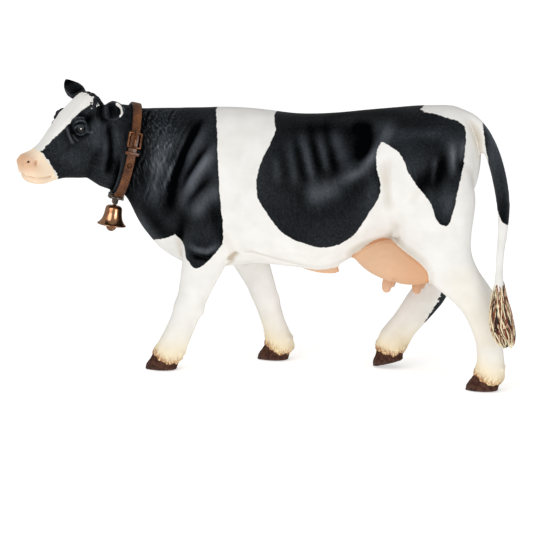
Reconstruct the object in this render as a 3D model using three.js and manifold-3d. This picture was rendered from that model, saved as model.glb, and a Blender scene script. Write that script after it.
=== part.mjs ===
// A walking dairy cow figure at 1:20, with a buckled collar and a bell that swings on it.
// Millimetres, +Z up. The head is toward -X and the cow's left side toward -Y.
// The moulded pieces are lofts through hand-set sections, joined by pegs in sockets.
import * as THREE from "three";
import { mergeVertices } from "three/addons/utils/BufferGeometryUtils.js";
import Module from "manifold-3d";

const wasm = await Module();
wasm.setup();

// Clearances
const GLUE_GAP = 0.3;
const RUN_GAP = 0.15;

// Head: its own frame runs along the face (u), to its left (v) and out of its forehead (w)
const HEAD_X = -46.7;
const HEAD_Y = -9.4;
const HEAD_Z = 64;
const HEAD_TURN = 40;
const HEAD_NOD = 36;
const HEAD_ROLL = 8;
const EYE_BULGE_U = 4.4;
const EYE_BULGE_V = 4.6;
const EYE_BULGE_W = 9.8;
const EYE_BULGE_RADIUS = 2.7;

// Collar: the strap follows the head, and lies in a plane that turns and leans with the neck
const COLLAR_BEHIND = 5.9;
const COLLAR_ASIDE = 4.7;
const COLLAR_BELOW = 4.1;
const COLLAR_X = HEAD_X + COLLAR_BEHIND;
const COLLAR_Y = HEAD_Y + COLLAR_ASIDE;
const COLLAR_Z = HEAD_Z - COLLAR_BELOW;
const COLLAR_TURN = 26;
const COLLAR_LEAN = 12;
const NECK_HALF_WIDTH = 7.8;
const NECK_RISE = 13.2;
const NECK_DROP = 11.6;
const NECK_LAND = 4.4;
const STRAP_WIDTH = 2.7;
const STRAP_THICKNESS = 0.8;

// Collar fittings, placed by their angle round the strap, 0 at the cow's left
const BUCKLE_ANGLE = 20;
const BUCKLE_LENGTH = 4.6;
const BUCKLE_WIDTH = 4.1;
const BUCKLE_BAR = 0.6;
const PRONG_WIDTH = 0.5;
const PRONG_THICKNESS = 0.4;
const KEEPER_ANGLE = 4;
const KEEPER_LENGTH = 0.9;
const KEEPER_THICKNESS = 0.45;
const RIVET_ANGLE = -10;
const RIVET_HEAD_DIAMETER = 1.5;
const RIVET_HEAD_HEIGHT = 0.4;
const RIVET_CROWN_DIAMETER = 1.05;
const RIVET_SHANK_DIAMETER = 0.7;

// Bell, its hanger and its clapper
const HANGER_LENGTH = 3.4;
const HANGER_THICKNESS = 0.5;
const LUG_THICKNESS = 0.55;
const LUG_RADIUS = 0.7;
const PIN_DIAMETER = 0.6;
const EYE_THICKNESS = 0.8;
const EYE_RADIUS = 0.75;
const BELL_TILT = -8;
const BELL_HEIGHT = 5.5;
const BELL_CROWN_RADIUS = 2.1;
const BELL_MOUTH_RADIUS = 4.0;
const BELL_CROWN_FLAT = 0.7;
const BELL_SHOULDER = 0.14;
const BELL_WALL = 0.6;
const CLAPPER_PIN_DIAMETER = 0.6;
const CLAPPER_EYE_RADIUS = 0.9;
const CLAPPER_ROD_DIAMETER = 0.8;
const CLAPPER_BALL_DIAMETER = 2.9;
const CLAPPER_LENGTH = 4.1;

// Pegs that join the moulded pieces
const NECK_SPIGOT_DIAMETER = 9;
const NECK_SPIGOT_LENGTH = 5;
const LEG_TENON_DIAMETER = 4.2;
const LEG_TENON_LENGTH = 5;
const SADDLE_DEPTH = 1.2;

// Feet
const HOOF_LENGTH = 9.4;
const HOOF_WIDTH = 7.2;
const HOOF_HEIGHT = 4;
const CORONET_LENGTH = 8.2;
const CORONET_WIDTH = 6.4;
const CORONET_SET_BACK = 1.2;
const CLEFT_WIDTH = 0.7;
const CLEFT_LENGTH = 3.6;
const CLEFT_HEIGHT = 3;
const DEWCLAW_RADIUS = 0.95;
const DEWCLAW_SPREAD = 1.7;

// Udder
const UDDER_X = 36.8;
const UDDER_Z = 34.4;
const UDDER_HALF_LENGTH = 12;
const UDDER_TILT = 7;
const UDDER_HALF_WIDTH = 9.6;
const UDDER_HALF_DEPTH = 7.0;
const TEAT_LENGTH = 3.8;
const TEAT_RADIUS = 1.25;
const TEAT_ROOT = 2.4;
const TEAT_WAIST_RADIUS = 0.95;
const TEAT_WAIST_HEIGHT = 0.8;
const TEAT_TIP_RADIUS = 0.7;
const TEAT_TIP_HEIGHT = 0.15;
const FRONT_TEAT_X = 34.9;
const REAR_TEAT_X = 43.2;
const TEAT_SPREAD = 3.9;

// Finishes
const BLACK_COAT = { color: 0x24282b, roughness: 0.4 };
const WHITE_COAT = { color: 0xf0efec, roughness: 0.55 };
const UDDER_PINK = { color: 0xe0b38d, roughness: 0.5 };
const LEATHER = { color: 0x74482f, roughness: 0.5 };
const COPPER = { color: 0xc8844f, roughness: 0.25, metalness: 0.9 };
const BRASS = { color: 0xb98a52, roughness: 0.35, metalness: 0.8 };

// Facets: flat sides round a piece, and rows from end to end
const TRUNK_SIDES = 24;
const BARREL_SIDES = 40;
const BARREL_STEPS = 4;
const STUMP_STEPS = 3;
const SKULL_SIDES = 20;
const LIMB_SIDES = 14;
const EAR_SIDES = 14;
const TAIL_SIDES = 12;
const STRAP_SIDES = 48;
const BELL_SIDES = 20;
const PEG_SIDES = 16;
const TEAT_SIDES = 12;
const UDDER_FACETS = [20, 12];
const EYE_FACETS = [14, 10];
const BALL_FACETS = [16, 10];
const DEWCLAW_FACETS = [8, 5];
const WELD = 1e-4;
const SLOPE_STEP = 0.01;

// How far a skin must face sideways for the forms of the flesh to start, and to be full
const FORM_START = 0.22;
const FORM_FULL = 0.5;

const degrees = THREE.MathUtils.degToRad;
const vector = (x, y, z) => new THREE.Vector3(x, y, z);
const Z_AXIS = vector(0, 0, 1);

// A closed three.js geometry as a manifold solid
function solid(geometry) {
  const bare = geometry.clone();
  bare.deleteAttribute("normal");
  bare.deleteAttribute("uv");
  const merged = mergeVertices(bare, WELD);
  return new wasm.Manifold(
    new wasm.Mesh({
      numProp: 3,
      vertProperties: new Float32Array(merged.attributes.position.array),
      triVerts: new Uint32Array(merged.index.array),
    }),
  );
}

// A manifold solid back as a geometry
function geometryOf(body) {
  const mesh = body.getMesh();
  const geometry = new THREE.BufferGeometry();
  geometry.setAttribute("position", new THREE.BufferAttribute(new Float32Array(mesh.vertProperties), 3));
  geometry.setIndex(new THREE.BufferAttribute(new Uint32Array(mesh.triVerts), 1));
  geometry.computeVertexNormals();
  return geometry;
}

const placed = (geometry, matrix) => solid(geometry.applyMatrix4(matrix));
const join = (bodies) => bodies.reduce((whole, body) => whole.add(body));
const cut = (body, tools) => tools.reduce((rest, tool) => rest.subtract(tool), body);

// One section of a loft: half is its reach along across, up and down its reaches along rise
function section(at, across, rise, half, up, down) {
  return { at, across, rise, reach: vector(half, up, down) };
}

// The point at angle t on a rounded section outline; a power over 2 squares it, under 2 peaks it
function outlinePoint(t, half, up, down, crown, keel) {
  const c = Math.cos(t);
  const s = Math.sin(t);
  const power = s >= 0 ? crown : keel;
  const x = half * Math.sign(c) * Math.abs(c) ** (2 / power);
  const y = (s >= 0 ? up : -down) * Math.abs(s) ** (2 / power);
  return new THREE.Vector2(x, y);
}

// A closed skin through the sections from index `from` to `to`, smooth between them.
// grow makes it larger all round, for the recess that it seats in. form gives how far the
// modelled flesh stands out at a point, and is full where the skin faces sideways.
function loft(sections, options) {
  const spans = sections.length - 1;
  const plain = { from: 0, to: spans, steps: 2, grow: 0, crown: 2, keel: 2, form: () => 0 };
  const { from, to, sides, steps, grow, crown, keel, form } = { ...plain, ...options };
  const curve = (key) => {
    const stations = sections.map((each) => each[key]);
    return new THREE.CatmullRomCurve3(stations, false, "catmullrom", 0.5);
  };
  const atCurve = curve("at");
  const acrossCurve = curve("across");
  const riseCurve = curve("rise");
  const reachCurve = curve("reach");
  const stops = [from];
  for (let k = Math.floor(from * steps) + 1; k < to * steps - WELD; k += 1) {
    stops.push(k / steps);
  }
  stops.push(to);
  const centres = stops.map((t) => atCurve.getPoint(t / spans));
  const last = centres.length - 1;
  const lead = centres[0].clone().sub(centres[1]).setLength(grow);
  const trail = centres[last].clone().sub(centres[last - 1]).setLength(grow);
  if (grow > 0) {
    centres[0].add(lead);
    centres[last].add(trail);
  }
  const points = [];
  stops.forEach((t, i) => {
    const across = acrossCurve.getPoint(t / spans).normalize();
    const rise = riseCurve.getPoint(t / spans).normalize();
    const reach = reachCurve.getPoint(t / spans);
    for (let k = 0; k < sides; k += 1) {
      const turn = (2 * Math.PI * k) / sides;
      const p = outlinePoint(turn, reach.x + grow, reach.y + grow, reach.z + grow, crown, keel);
      const out = across.clone().multiplyScalar(p.x).addScaledVector(rise, p.y);
      const sideways = THREE.MathUtils.smoothstep(Math.abs(p.x) / reach.x, FORM_START, FORM_FULL);
      const point = centres[i].clone().add(out);
      points.push(point.addScaledVector(out.normalize(), sideways * form(point)));
    }
  });
  points.push(centres[0], centres[last]);
  const faces = [];
  const start = points.length - 2;
  const end = points.length - 1;
  for (let k = 0; k < sides; k += 1) {
    const next = (k + 1) % sides;
    for (let i = 0; i < last; i += 1) {
      const a = i * sides + k;
      const b = i * sides + next;
      faces.push([a, b, b + sides], [a, b + sides, a + sides]);
    }
    faces.push([start, next, k], [end, last * sides + k, last * sides + next]);
  }
  const wedge = ([a, b, c]) => points[a].dot(points[b].clone().cross(points[c]));
  const volume = faces.reduce((sum, face) => sum + wedge(face), 0);
  const index = faces.flatMap(([a, b, c]) => (volume > 0 ? [a, b, c] : [a, c, b]));
  const geometry = new THREE.BufferGeometry().setFromPoints(points);
  geometry.setIndex(index);
  return solid(geometry);
}

// A round peg along axis, which starts at base
function peg(base, axis, diameter, length, sides = PEG_SIDES) {
  const turn = new THREE.Quaternion().setFromUnitVectors(vector(0, 1, 0), axis);
  const middle = base.clone().addScaledVector(axis, length / 2);
  const matrix = new THREE.Matrix4().compose(middle, turn, vector(1, 1, 1));
  return placed(new THREE.CylinderGeometry(diameter / 2, diameter / 2, length, sides), matrix);
}

// A flat shape drawn out into a bar
function extruded(shape, depth) {
  return new THREE.ExtrudeGeometry(shape, { depth, bevelEnabled: false });
}

// A round solid from half-profile points given as [radius, height]
function turned(profile, sides) {
  const points = profile.map(([radius, height]) => new THREE.Vector2(radius, height));
  return new THREE.LatheGeometry(points, sides).rotateX(Math.PI / 2);
}

// Collar frame: x to the cow's left, y up the neck section, z along the neck toward the head
function bodyAxes(turn, lean) {
  const forward = vector(-Math.cos(degrees(turn)), -Math.sin(degrees(turn)), 0);
  const across = vector(Math.sin(degrees(turn)), -Math.cos(degrees(turn)), 0);
  const rise = Z_AXIS.clone().multiplyScalar(Math.cos(degrees(lean)));
  rise.addScaledVector(forward, -Math.sin(degrees(lean)));
  return { forward, across, rise, along: across.clone().cross(rise) };
}
const collar = bodyAxes(COLLAR_TURN, COLLAR_LEAN);
const collarCentre = vector(COLLAR_X, COLLAR_Y, COLLAR_Z);
const collarMatrix = new THREE.Matrix4().makeBasis(collar.across, collar.rise, collar.along);
collarMatrix.setPosition(collarCentre);

// The neck keeps one outline under the strap; shift runs toward the head
function neckSection(shift) {
  const at = collarCentre.clone().addScaledVector(collar.along, shift);
  return section(at, collar.across, collar.rise, NECK_HALF_WIDTH, NECK_RISE, NECK_DROP);
}

// A trunk section: top and belly are the heights of the topline and the underline
function bodySection({ x, y = 0, turn = 0, lean = 0, top, belly, half, widest }) {
  const { across, rise } = bodyAxes(turn, lean);
  const slope = Math.cos(degrees(lean));
  const up = (top - widest) / slope;
  const down = (widest - belly) / slope;
  return section(vector(x, y, widest), across, rise, half, up, down);
}

const trunkSections = [
  neckSection(-GLUE_GAP / 2),
  neckSection(-NECK_LAND / 2),
  bodySection({ x: -33.8, y: -2.3, turn: 19, lean: 8, top: 72.6, belly: 40.2, half: 9.0, widest: 59 }),
  bodySection({ x: -27.5, y: -0.9, turn: 10, lean: 6, top: 72.8, belly: 32.6, half: 10.8, widest: 55 }),
  bodySection({ x: -20.5, y: -0.2, turn: 3, lean: 3, top: 73.1, belly: 28.2, half: 13.4, widest: 52 }),
  bodySection({ x: -12, top: 73.5, belly: 28.6, half: 15.4, widest: 50 }),
  bodySection({ x: -3, top: 73.2, belly: 30.0, half: 17.2, widest: 50 }),
  bodySection({ x: 7, top: 72.4, belly: 29.7, half: 19.0, widest: 49 }),
  bodySection({ x: 17, top: 73.0, belly: 29.6, half: 19.8, widest: 49 }),
  bodySection({ x: 26, top: 74.2, belly: 34.6, half: 19.2, widest: 52 }),
  bodySection({ x: 34, top: 75.2, belly: 38.4, half: 17.6, widest: 56 }),
  bodySection({ x: 42, top: 76.1, belly: 41, half: 15.8, widest: 59 }),
  bodySection({ x: 49.5, top: 75.7, belly: 44, half: 13, widest: 61 }),
  bodySection({ x: 54.5, top: 73.4, belly: 49, half: 10, widest: 62 }),
  bodySection({ x: 57.2, top: 69, belly: 55, half: 6, widest: 63 }),
  bodySection({ x: 58.2, top: 65, belly: 60.5, half: 1.8, widest: 63 }),
];
const TRUNK_SHAPE = { sides: TRUNK_SIDES, crown: 1.85, keel: 2.25 };

// A form of the flesh in side view: it lies along a line from one x and z to another, reaches so
// far to either side of the line, and stands out so high or, below 0, goes in so deep
function fleshForm(from, to, reach, high) {
  const line = new THREE.Line3(vector(from[0], 0, from[1]), vector(to[0], 0, to[1]));
  return { line, reach, high };
}

// Muscles, bones and hollows, the same on both flanks
const trunkForms = {
  shoulderFront: fleshForm([-20.7, 68.2], [-23.6, 59.6], 2.2, -0.9),
  armFront: fleshForm([-23.6, 59.6], [-26.4, 46], 2.2, -1.1),
  shoulderBlade: fleshForm([-14.5, 61.5], [-21.5, 48], 2.8, 1.1),
  behindShoulder: fleshForm([-6, 64], [-6, 50], 4, -0.9),
  ribs: fleshForm([10, 66], [16, 56], 3.6, 0.5),
  flankHollow: fleshForm([24.5, 68.3], [28.5, 66.5], 3.4, -1.5),
  flankFold: fleshForm([32, 65.5], [23.5, 57], 2.6, 1),
  hipBone: fleshForm([33.4, 70], [36, 69], 2.6, 0.9),
  stifleFold: fleshForm([34.7, 60.5], [36, 45.5], 2.4, -1),
  thighBack: fleshForm([52, 67], [52, 60], 2.4, 0.6),
};

// How far the flesh stands out of the plain trunk at a point
function flesh(point) {
  const flat = vector(point.x, 0, point.z);
  const foot = vector(0, 0, 0);
  return Object.values(trunkForms).reduce((sum, { line, reach, high }) => {
    const away = line.closestPointToPoint(flat, true, foot).distanceTo(flat);
    return sum + high * Math.exp(-((away / reach) ** 2));
  }, 0);
}

// Where the flesh is modelled, the skin has points closer together
const BARREL_FORM = { sides: BARREL_SIDES, steps: BARREL_STEPS, form: flesh };
const STUMP_FORM = { steps: STUMP_STEPS, form: flesh };

// A limb section: depth is its fore-and-aft half, breadth its sideways half.
// tilt leans the limb's lower end toward the head.
function limbSection({ x, y, z, tilt, depth, breadth }) {
  const rise = vector(Math.cos(degrees(tilt)), 0, -Math.sin(degrees(tilt)));
  return section(vector(x, y, z), vector(0, -1, 0), rise, breadth, depth, depth);
}

// Each limb runs from inside the trunk to its fetlock, and its leg is joined on at the section
// marked as the seam. hoof gives the middle of the sole, and lift how far the heel is raised.
const limbs = {
  fore_leg_left: {
    hoof: { x: -28.4, y: -10.6, lift: 0 },
    sections: [
      { x: -13.5, y: -8.6, z: 52, tilt: 4, depth: 9.5, breadth: 6.2 },
      { x: -14.4, y: -9.4, z: 42, tilt: 8, depth: 8.6, breadth: 6.0 },
      { x: -16.3, y: -10.2, z: 33, tilt: 14, depth: 6.8, breadth: 5.0, seam: true },
      { x: -17.6, y: -10.5, z: 28, tilt: 16, depth: 5.5, breadth: 4.4 },
      { x: -19.2, y: -10.7, z: 22.6, tilt: 17, depth: 4.5, breadth: 3.9 },
      { x: -20.7, y: -10.8, z: 17.6, tilt: 20, depth: 4.0, breadth: 3.5 },
      { x: -23.3, y: -10.7, z: 11.2, tilt: 22, depth: 3.9, breadth: 3.1 },
      { x: -25.6, y: -10.6, z: 6.2, tilt: 18, depth: 4.2, breadth: 3.4 },
    ],
  },
  fore_leg_right: {
    hoof: { x: -1.0, y: 10.8, lift: 0 },
    sections: [
      { x: -13, y: 8.6, z: 52, tilt: -6, depth: 9.5, breadth: 6.2 },
      { x: -11.8, y: 9.4, z: 42, tilt: -12, depth: 8.4, breadth: 6.0 },
      { x: -9.6, y: 10.2, z: 33, tilt: -20, depth: 6.4, breadth: 5.0, seam: true },
      { x: -7.4, y: 10.6, z: 27.4, tilt: -24, depth: 5.0, breadth: 4.3 },
      { x: -4.7, y: 10.8, z: 21.4, tilt: -22, depth: 4.0, breadth: 3.7 },
      { x: -3.0, y: 10.9, z: 16.6, tilt: -20, depth: 3.6, breadth: 3.4 },
      { x: -0.9, y: 10.9, z: 10.4, tilt: -18, depth: 3.4, breadth: 3.0 },
      { x: 0.7, y: 10.8, z: 6.2, tilt: -6, depth: 3.9, breadth: 3.4 },
    ],
  },
  hind_leg_left: {
    hoof: { x: 61.9, y: -11.1, lift: 0 },
    sections: [
      { x: 44.5, y: -7.2, z: 64, tilt: -4, depth: 9.5, breadth: 5.2 },
      { x: 46.2, y: -8.6, z: 53, tilt: -6, depth: 11.8, breadth: 7.0 },
      { x: 47.6, y: -9.4, z: 43, tilt: -14, depth: 10.2, breadth: 6.2 },
      { x: 51.2, y: -10.2, z: 34.6, tilt: -30, depth: 7.6, breadth: 5.2, seam: true },
      { x: 55.4, y: -10.7, z: 29.4, tilt: -34, depth: 5.9, breadth: 4.3 },
      { x: 59.9, y: -11.0, z: 24.6, tilt: -30, depth: 5.2, breadth: 3.8 },
      { x: 62.2, y: -11.1, z: 19, tilt: -14, depth: 4.4, breadth: 3.4 },
      { x: 63.6, y: -11.2, z: 13, tilt: -8, depth: 3.6, breadth: 3.0 },
      { x: 64.2, y: -11.2, z: 6.6, tilt: 0, depth: 4.0, breadth: 3.4 },
    ],
  },
  hind_leg_right: {
    hoof: { x: 32.6, y: 9.9, lift: 15 },
    sections: [
      { x: 44.5, y: 7.2, z: 64, tilt: 2, depth: 9.5, breadth: 5.2 },
      { x: 43.0, y: 8.4, z: 53, tilt: 6, depth: 11.6, breadth: 7.0 },
      { x: 41.2, y: 9.0, z: 43, tilt: 4, depth: 9.8, breadth: 6.2 },
      { x: 42.0, y: 9.4, z: 34.6, tilt: -14, depth: 7.6, breadth: 5.2, seam: true },
      { x: 43.8, y: 9.7, z: 29, tilt: -16, depth: 6.0, breadth: 4.3 },
      { x: 44.6, y: 9.9, z: 24, tilt: 10, depth: 5.2, breadth: 3.8 },
      { x: 41.2, y: 10.0, z: 18.6, tilt: 32, depth: 4.7, breadth: 3.4 },
      { x: 37.2, y: 10.0, z: 13, tilt: 36, depth: 4.1, breadth: 3.1 },
      { x: 33.9, y: 9.9, z: 8.4, tilt: 28, depth: 4.3, breadth: 3.4 },
    ],
  },
};
const LIMB_SHAPE = { sides: LIMB_SIDES, crown: 2.1, keel: 2.1 };

// Where a hoof stands: its frame has x toward the heel, z up out of the sole and y to the right
function hoofMatrix({ x, y, lift }) {
  const heel = vector(Math.cos(degrees(lift)), 0, Math.sin(degrees(lift)));
  const up = vector(-Math.sin(degrees(lift)), 0, Math.cos(degrees(lift)));
  const matrix = new THREE.Matrix4().makeBasis(heel, vector(0, 1, 0), up);
  return matrix.setPosition(x, y, (Math.sin(degrees(lift)) * HOOF_LENGTH) / 2);
}

// The two sections of a hoof: the coronet and the flat sole
function hoofSections(hoof) {
  const matrix = hoofMatrix(hoof);
  const rise = vector(1, 0, 0).transformDirection(matrix);
  const across = vector(0, -1, 0);
  const coronet = vector(CORONET_SET_BACK, 0, HOOF_HEIGHT).applyMatrix4(matrix);
  const sole = vector(0, 0, 0).applyMatrix4(matrix);
  return [
    section(coronet, across, rise, CORONET_WIDTH / 2, CORONET_LENGTH / 2, CORONET_LENGTH / 2),
    section(sole, across, rise, HOOF_WIDTH / 2, HOOF_LENGTH / 2, HOOF_LENGTH / 2),
  ];
}

// The slot between the two claws, open to the toe and to the ground
function cleft(hoof) {
  const slot = new THREE.BoxGeometry(2 * CLEFT_LENGTH, CLEFT_WIDTH, 2 * CLEFT_HEIGHT);
  slot.translate(-HOOF_LENGTH / 2, 0, 0);
  return placed(slot, hoofMatrix(hoof));
}

// Two dewclaws at the back of the fetlock
function dewclaws(fetlock) {
  return [-DEWCLAW_SPREAD, DEWCLAW_SPREAD].map((side) => {
    const claw = new THREE.SphereGeometry(DEWCLAW_RADIUS, ...DEWCLAW_FACETS);
    const skin = fetlock.reach.y * Math.sqrt(1 - (side / fetlock.reach.x) ** 2);
    const at = fetlock.at.clone().addScaledVector(fetlock.rise, skin - DEWCLAW_RADIUS / 3);
    return solid(claw.translate(at.x, at.y + side, at.z));
  });
}

// A leg with its tenon, the stump that stays on the trunk, and the recess that the leg seats in
function makeLimb({ hoof, sections }) {
  const seam = sections.findIndex((each) => each.seam);
  const upper = sections.map(limbSection);
  const all = [...upper, ...hoofSections(hoof)];
  const joint = upper[seam];
  const span = upper[seam + 1].at.distanceTo(joint.at);
  const start = seam + GLUE_GAP / span;
  const axis = joint.rise.clone().cross(joint.across);
  if (axis.z < 0) axis.negate();
  const top = joint.at.clone().addScaledVector(axis, -GLUE_GAP - SADDLE_DEPTH);
  const length = LEG_TENON_LENGTH + GLUE_GAP + SADDLE_DEPTH;
  const tenon = peg(top, axis, LEG_TENON_DIAMETER, length);
  const socket = peg(top, axis, LEG_TENON_DIAMETER + 2 * GLUE_GAP, length + GLUE_GAP);
  const shank = loft(all, { ...LIMB_SHAPE, from: start });
  const fetlock = upper[upper.length - 1];
  return {
    leg: cut(join([shank, tenon, ...dewclaws(fetlock)]), [cleft(hoof)]),
    stump: loft(upper, { ...LIMB_SHAPE, ...STUMP_FORM, to: seam + SADDLE_DEPTH / span }),
    recess: loft(all, { ...LIMB_SHAPE, from: start, to: upper.length - 2, grow: GLUE_GAP }),
    socket,
  };
}

// Udder: a rounded bag, lower toward the rear, with four teats
const udderMatrix = new THREE.Matrix4().makeRotationY(degrees(UDDER_TILT));
udderMatrix.setPosition(UDDER_X, 0, UDDER_Z);

function udderBag(grow) {
  const bag = new THREE.SphereGeometry(1, ...UDDER_FACETS);
  bag.scale(UDDER_HALF_LENGTH + grow, UDDER_HALF_WIDTH + grow, UDDER_HALF_DEPTH + grow);
  return placed(bag, udderMatrix);
}

function teat(x, y, grow) {
  const tip = -TEAT_LENGTH - grow;
  const profile = [
    [0, tip],
    [TEAT_TIP_RADIUS + grow, tip + TEAT_TIP_HEIGHT],
    [TEAT_WAIST_RADIUS + grow, tip + TEAT_WAIST_HEIGHT],
    [TEAT_RADIUS + grow, 0],
    [TEAT_RADIUS + grow, TEAT_ROOT],
    [0, TEAT_ROOT],
  ];
  const ahead = (x - UDDER_X) / UDDER_HALF_LENGTH;
  const aside = y / UDDER_HALF_WIDTH;
  const skin = -UDDER_HALF_DEPTH * Math.sqrt(1 - ahead ** 2 - aside ** 2);
  return placed(turned(profile, TEAT_SIDES).translate(x - UDDER_X, y, skin), udderMatrix);
}

function makeUdder(grow) {
  const teats = [];
  for (const x of [FRONT_TEAT_X, REAR_TEAT_X]) {
    teats.push(teat(x, -TEAT_SPREAD, grow), teat(x, TEAT_SPREAD, grow));
  }
  return join([udderBag(grow), ...teats]);
}

// Tail: from a root let into the rump, swung to the cow's left beside the hock.
// half is its fore-and-aft half and thick its sideways half.
const tailPath = [
  { x: 47.5, y: 0, z: 71.6, half: 1.7, thick: 1.5 },
  { x: 52.4, y: -0.2, z: 72.9, half: 1.9, thick: 1.6 },
  { x: 57.0, y: -1.2, z: 71.4, half: 2.2, thick: 1.7 },
  { x: 61.0, y: -2.9, z: 65.8, half: 2.4, thick: 1.7 },
  { x: 64.0, y: -5.0, z: 58.2, half: 2.4, thick: 1.6 },
  { x: 65.8, y: -7.6, z: 50.4, half: 2.2, thick: 1.5 },
  { x: 66.2, y: -10.6, z: 44.8, half: 1.8, thick: 1.4 },
  { x: 66.1, y: -13.8, z: 38.6, half: 1.5, thick: 1.3 },
  { x: 66.2, y: -16.4, z: 32.6, half: 1.4, thick: 1.3 },
  { x: 66.6, y: -17.8, z: 28.0, half: 1.9, thick: 1.5 },
  { x: 67.3, y: -18.6, z: 22.5, half: 3.1, thick: 1.9 },
  { x: 68.0, y: -18.7, z: 18.2, half: 3.2, thick: 1.8 },
  { x: 68.7, y: -18.5, z: 14.9, half: 1.8, thick: 1.2 },
  { x: 69.1, y: -18.4, z: 13.7, half: 0.6, thick: 0.5 },
].map(({ x, y, z, half, thick }) => ({ at: vector(x, y, z), half, thick }));

function makeTail(grow) {
  const sections = tailPath.map((stop, i) => {
    const before = tailPath[Math.max(i - 1, 0)].at;
    const after = tailPath[Math.min(i + 1, tailPath.length - 1)].at;
    const along = after.clone().sub(before).normalize();
    const rise = vector(0, -1, 0).cross(along).normalize();
    const across = along.clone().cross(rise);
    return section(stop.at, across, rise, stop.thick, stop.half, stop.half);
  });
  return loft(sections, { sides: TAIL_SIDES, grow });
}

// Head frame, and its sections along the face
function headFrame() {
  const { forward, across } = bodyAxes(HEAD_TURN, 0);
  const face = forward.clone().multiplyScalar(Math.cos(degrees(HEAD_NOD)));
  face.addScaledVector(Z_AXIS, -Math.sin(degrees(HEAD_NOD)));
  const left = across.clone().applyAxisAngle(face, -degrees(HEAD_ROLL));
  const brow = face.clone().cross(left);
  const matrix = new THREE.Matrix4().makeBasis(face, left, brow);
  return matrix.setPosition(HEAD_X, HEAD_Y, HEAD_Z);
}
const headMatrix = headFrame();
const onHead = (u, v, w) => vector(u, v, w).applyMatrix4(headMatrix);
const headWay = (u, v, w) => vector(u, v, w).transformDirection(headMatrix);

// top and chin are heights out of the face axis, widest the height of the cheek or eye bulge
function headSection({ u, top, chin, widest, half }) {
  const left = headWay(0, 1, 0);
  const brow = headWay(0, 0, 1);
  return section(onHead(u, 0, widest), left, brow, half, top - widest, widest - chin);
}

const skullSections = [
  { u: -5.4, top: 12.2, chin: -2, widest: 5, half: 3.0 },
  { u: -3.6, top: 14.2, chin: -6, widest: 6, half: 4.8 },
  { u: 0, top: 14.1, chin: -8.2, widest: 6.4, half: 5.6 },
  { u: 3.6, top: 13.4, chin: -8.8, widest: 6.4, half: 6.0 },
  { u: 7.2, top: 12.7, chin: -8.0, widest: 5.8, half: 5.5 },
  { u: 11.2, top: 11.8, chin: -5.2, widest: 4.8, half: 4.6 },
  { u: 15, top: 10.8, chin: -1.9, widest: 4.4, half: 3.8 },
  { u: 18, top: 10.6, chin: -0.3, widest: 5, half: 4.0 },
  { u: 20.8, top: 10.8, chin: 0.9, widest: 5.6, half: 4.3 },
  { u: 22.8, top: 10.1, chin: 2.5, widest: 6, half: 3.8 },
  { u: 24.4, top: 8, chin: 4.4, widest: 6.2, half: 2.0 },
].map(headSection);

// The throat and nape, from the collar seam into the skull; back leans a section's top to the rear
function throatSection({ u, w, back, half, up, down }) {
  return section(onHead(u, 0, w), headWay(0, 1, 0), headWay(-back, 0, 1), half, up, down);
}
const napeSections = [
  neckSection(GLUE_GAP / 2),
  neckSection(NECK_LAND / 2),
  throatSection({ u: 0.5, w: -4, back: 0.5, half: 7, up: 13.4, down: 11.5 }),
  throatSection({ u: 4.5, w: -1.5, back: 0.32, half: 5.8, up: 12, down: 10.2 }),
  throatSection({ u: 8, w: 0.5, back: 0.2, half: 4.2, up: 8, down: 7.2 }),
];

// An ear: a leaf from its root in the skull to its tip, broad across the given way
const earShape = [
  { share: 0, half: 1.4, depth: 1.2 },
  { share: 0.3, half: 2.2, depth: 1.3 },
  { share: 0.55, half: 2.9, depth: 1.2 },
  { share: 0.8, half: 2.1, depth: 0.9 },
  { share: 0.95, half: 0.9, depth: 0.6 },
  { share: 1, half: 0.3, depth: 0.3 },
];
const ears = {
  ear_left: {
    root: onHead(-2.8, 3.0, 8.0),
    tip: onHead(-6.4, 13.2, 9.6),
    broad: headWay(-0.75, 0, 1),
  },
  ear_right: {
    root: onHead(-2.8, -3.0, 9.4),
    tip: onHead(-4.1, -12.0, 15.0),
    broad: headWay(1, 0, 0.3),
  },
};

function makeEar({ root, tip, broad }, grow) {
  const along = tip.clone().sub(root).normalize();
  const thick = along.clone().cross(broad).normalize();
  const wide = thick.clone().cross(along).normalize();
  const sections = earShape.map(({ share, half, depth }) =>
    section(root.clone().lerp(tip, share), wide, thick, half, depth, depth),
  );
  return loft(sections, { sides: EAR_SIDES, grow });
}

// The bulge of the eye and its lids
function eyeBulge(v) {
  const bulge = new THREE.SphereGeometry(EYE_BULGE_RADIUS, ...EYE_FACETS);
  return placed(bulge.translate(EYE_BULGE_U, v, EYE_BULGE_W), headMatrix);
}

// The neck peg: it starts in front of the seam and runs back into the trunk
function neckPeg(diameter, length) {
  const front = collarCentre.clone().addScaledVector(collar.along, SADDLE_DEPTH);
  const back = collar.along.clone().negate();
  return peg(front, back, diameter, length + SADDLE_DEPTH, TRUNK_SIDES);
}

function makeHead() {
  const skull = loft(skullSections, { sides: SKULL_SIDES, crown: 2.9, keel: 2.1 });
  const nape = loft(napeSections, TRUNK_SHAPE);
  const spigot = neckPeg(NECK_SPIGOT_DIAMETER, NECK_SPIGOT_LENGTH);
  const eyes = [eyeBulge(-EYE_BULGE_V), eyeBulge(EYE_BULGE_V)];
  const recesses = Object.values(ears).map((ear) => makeEar(ear, GLUE_GAP));
  return cut(join([skull, nape, spigot, ...eyes]), recesses);
}

const udderRecess = makeUdder(GLUE_GAP);

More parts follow.
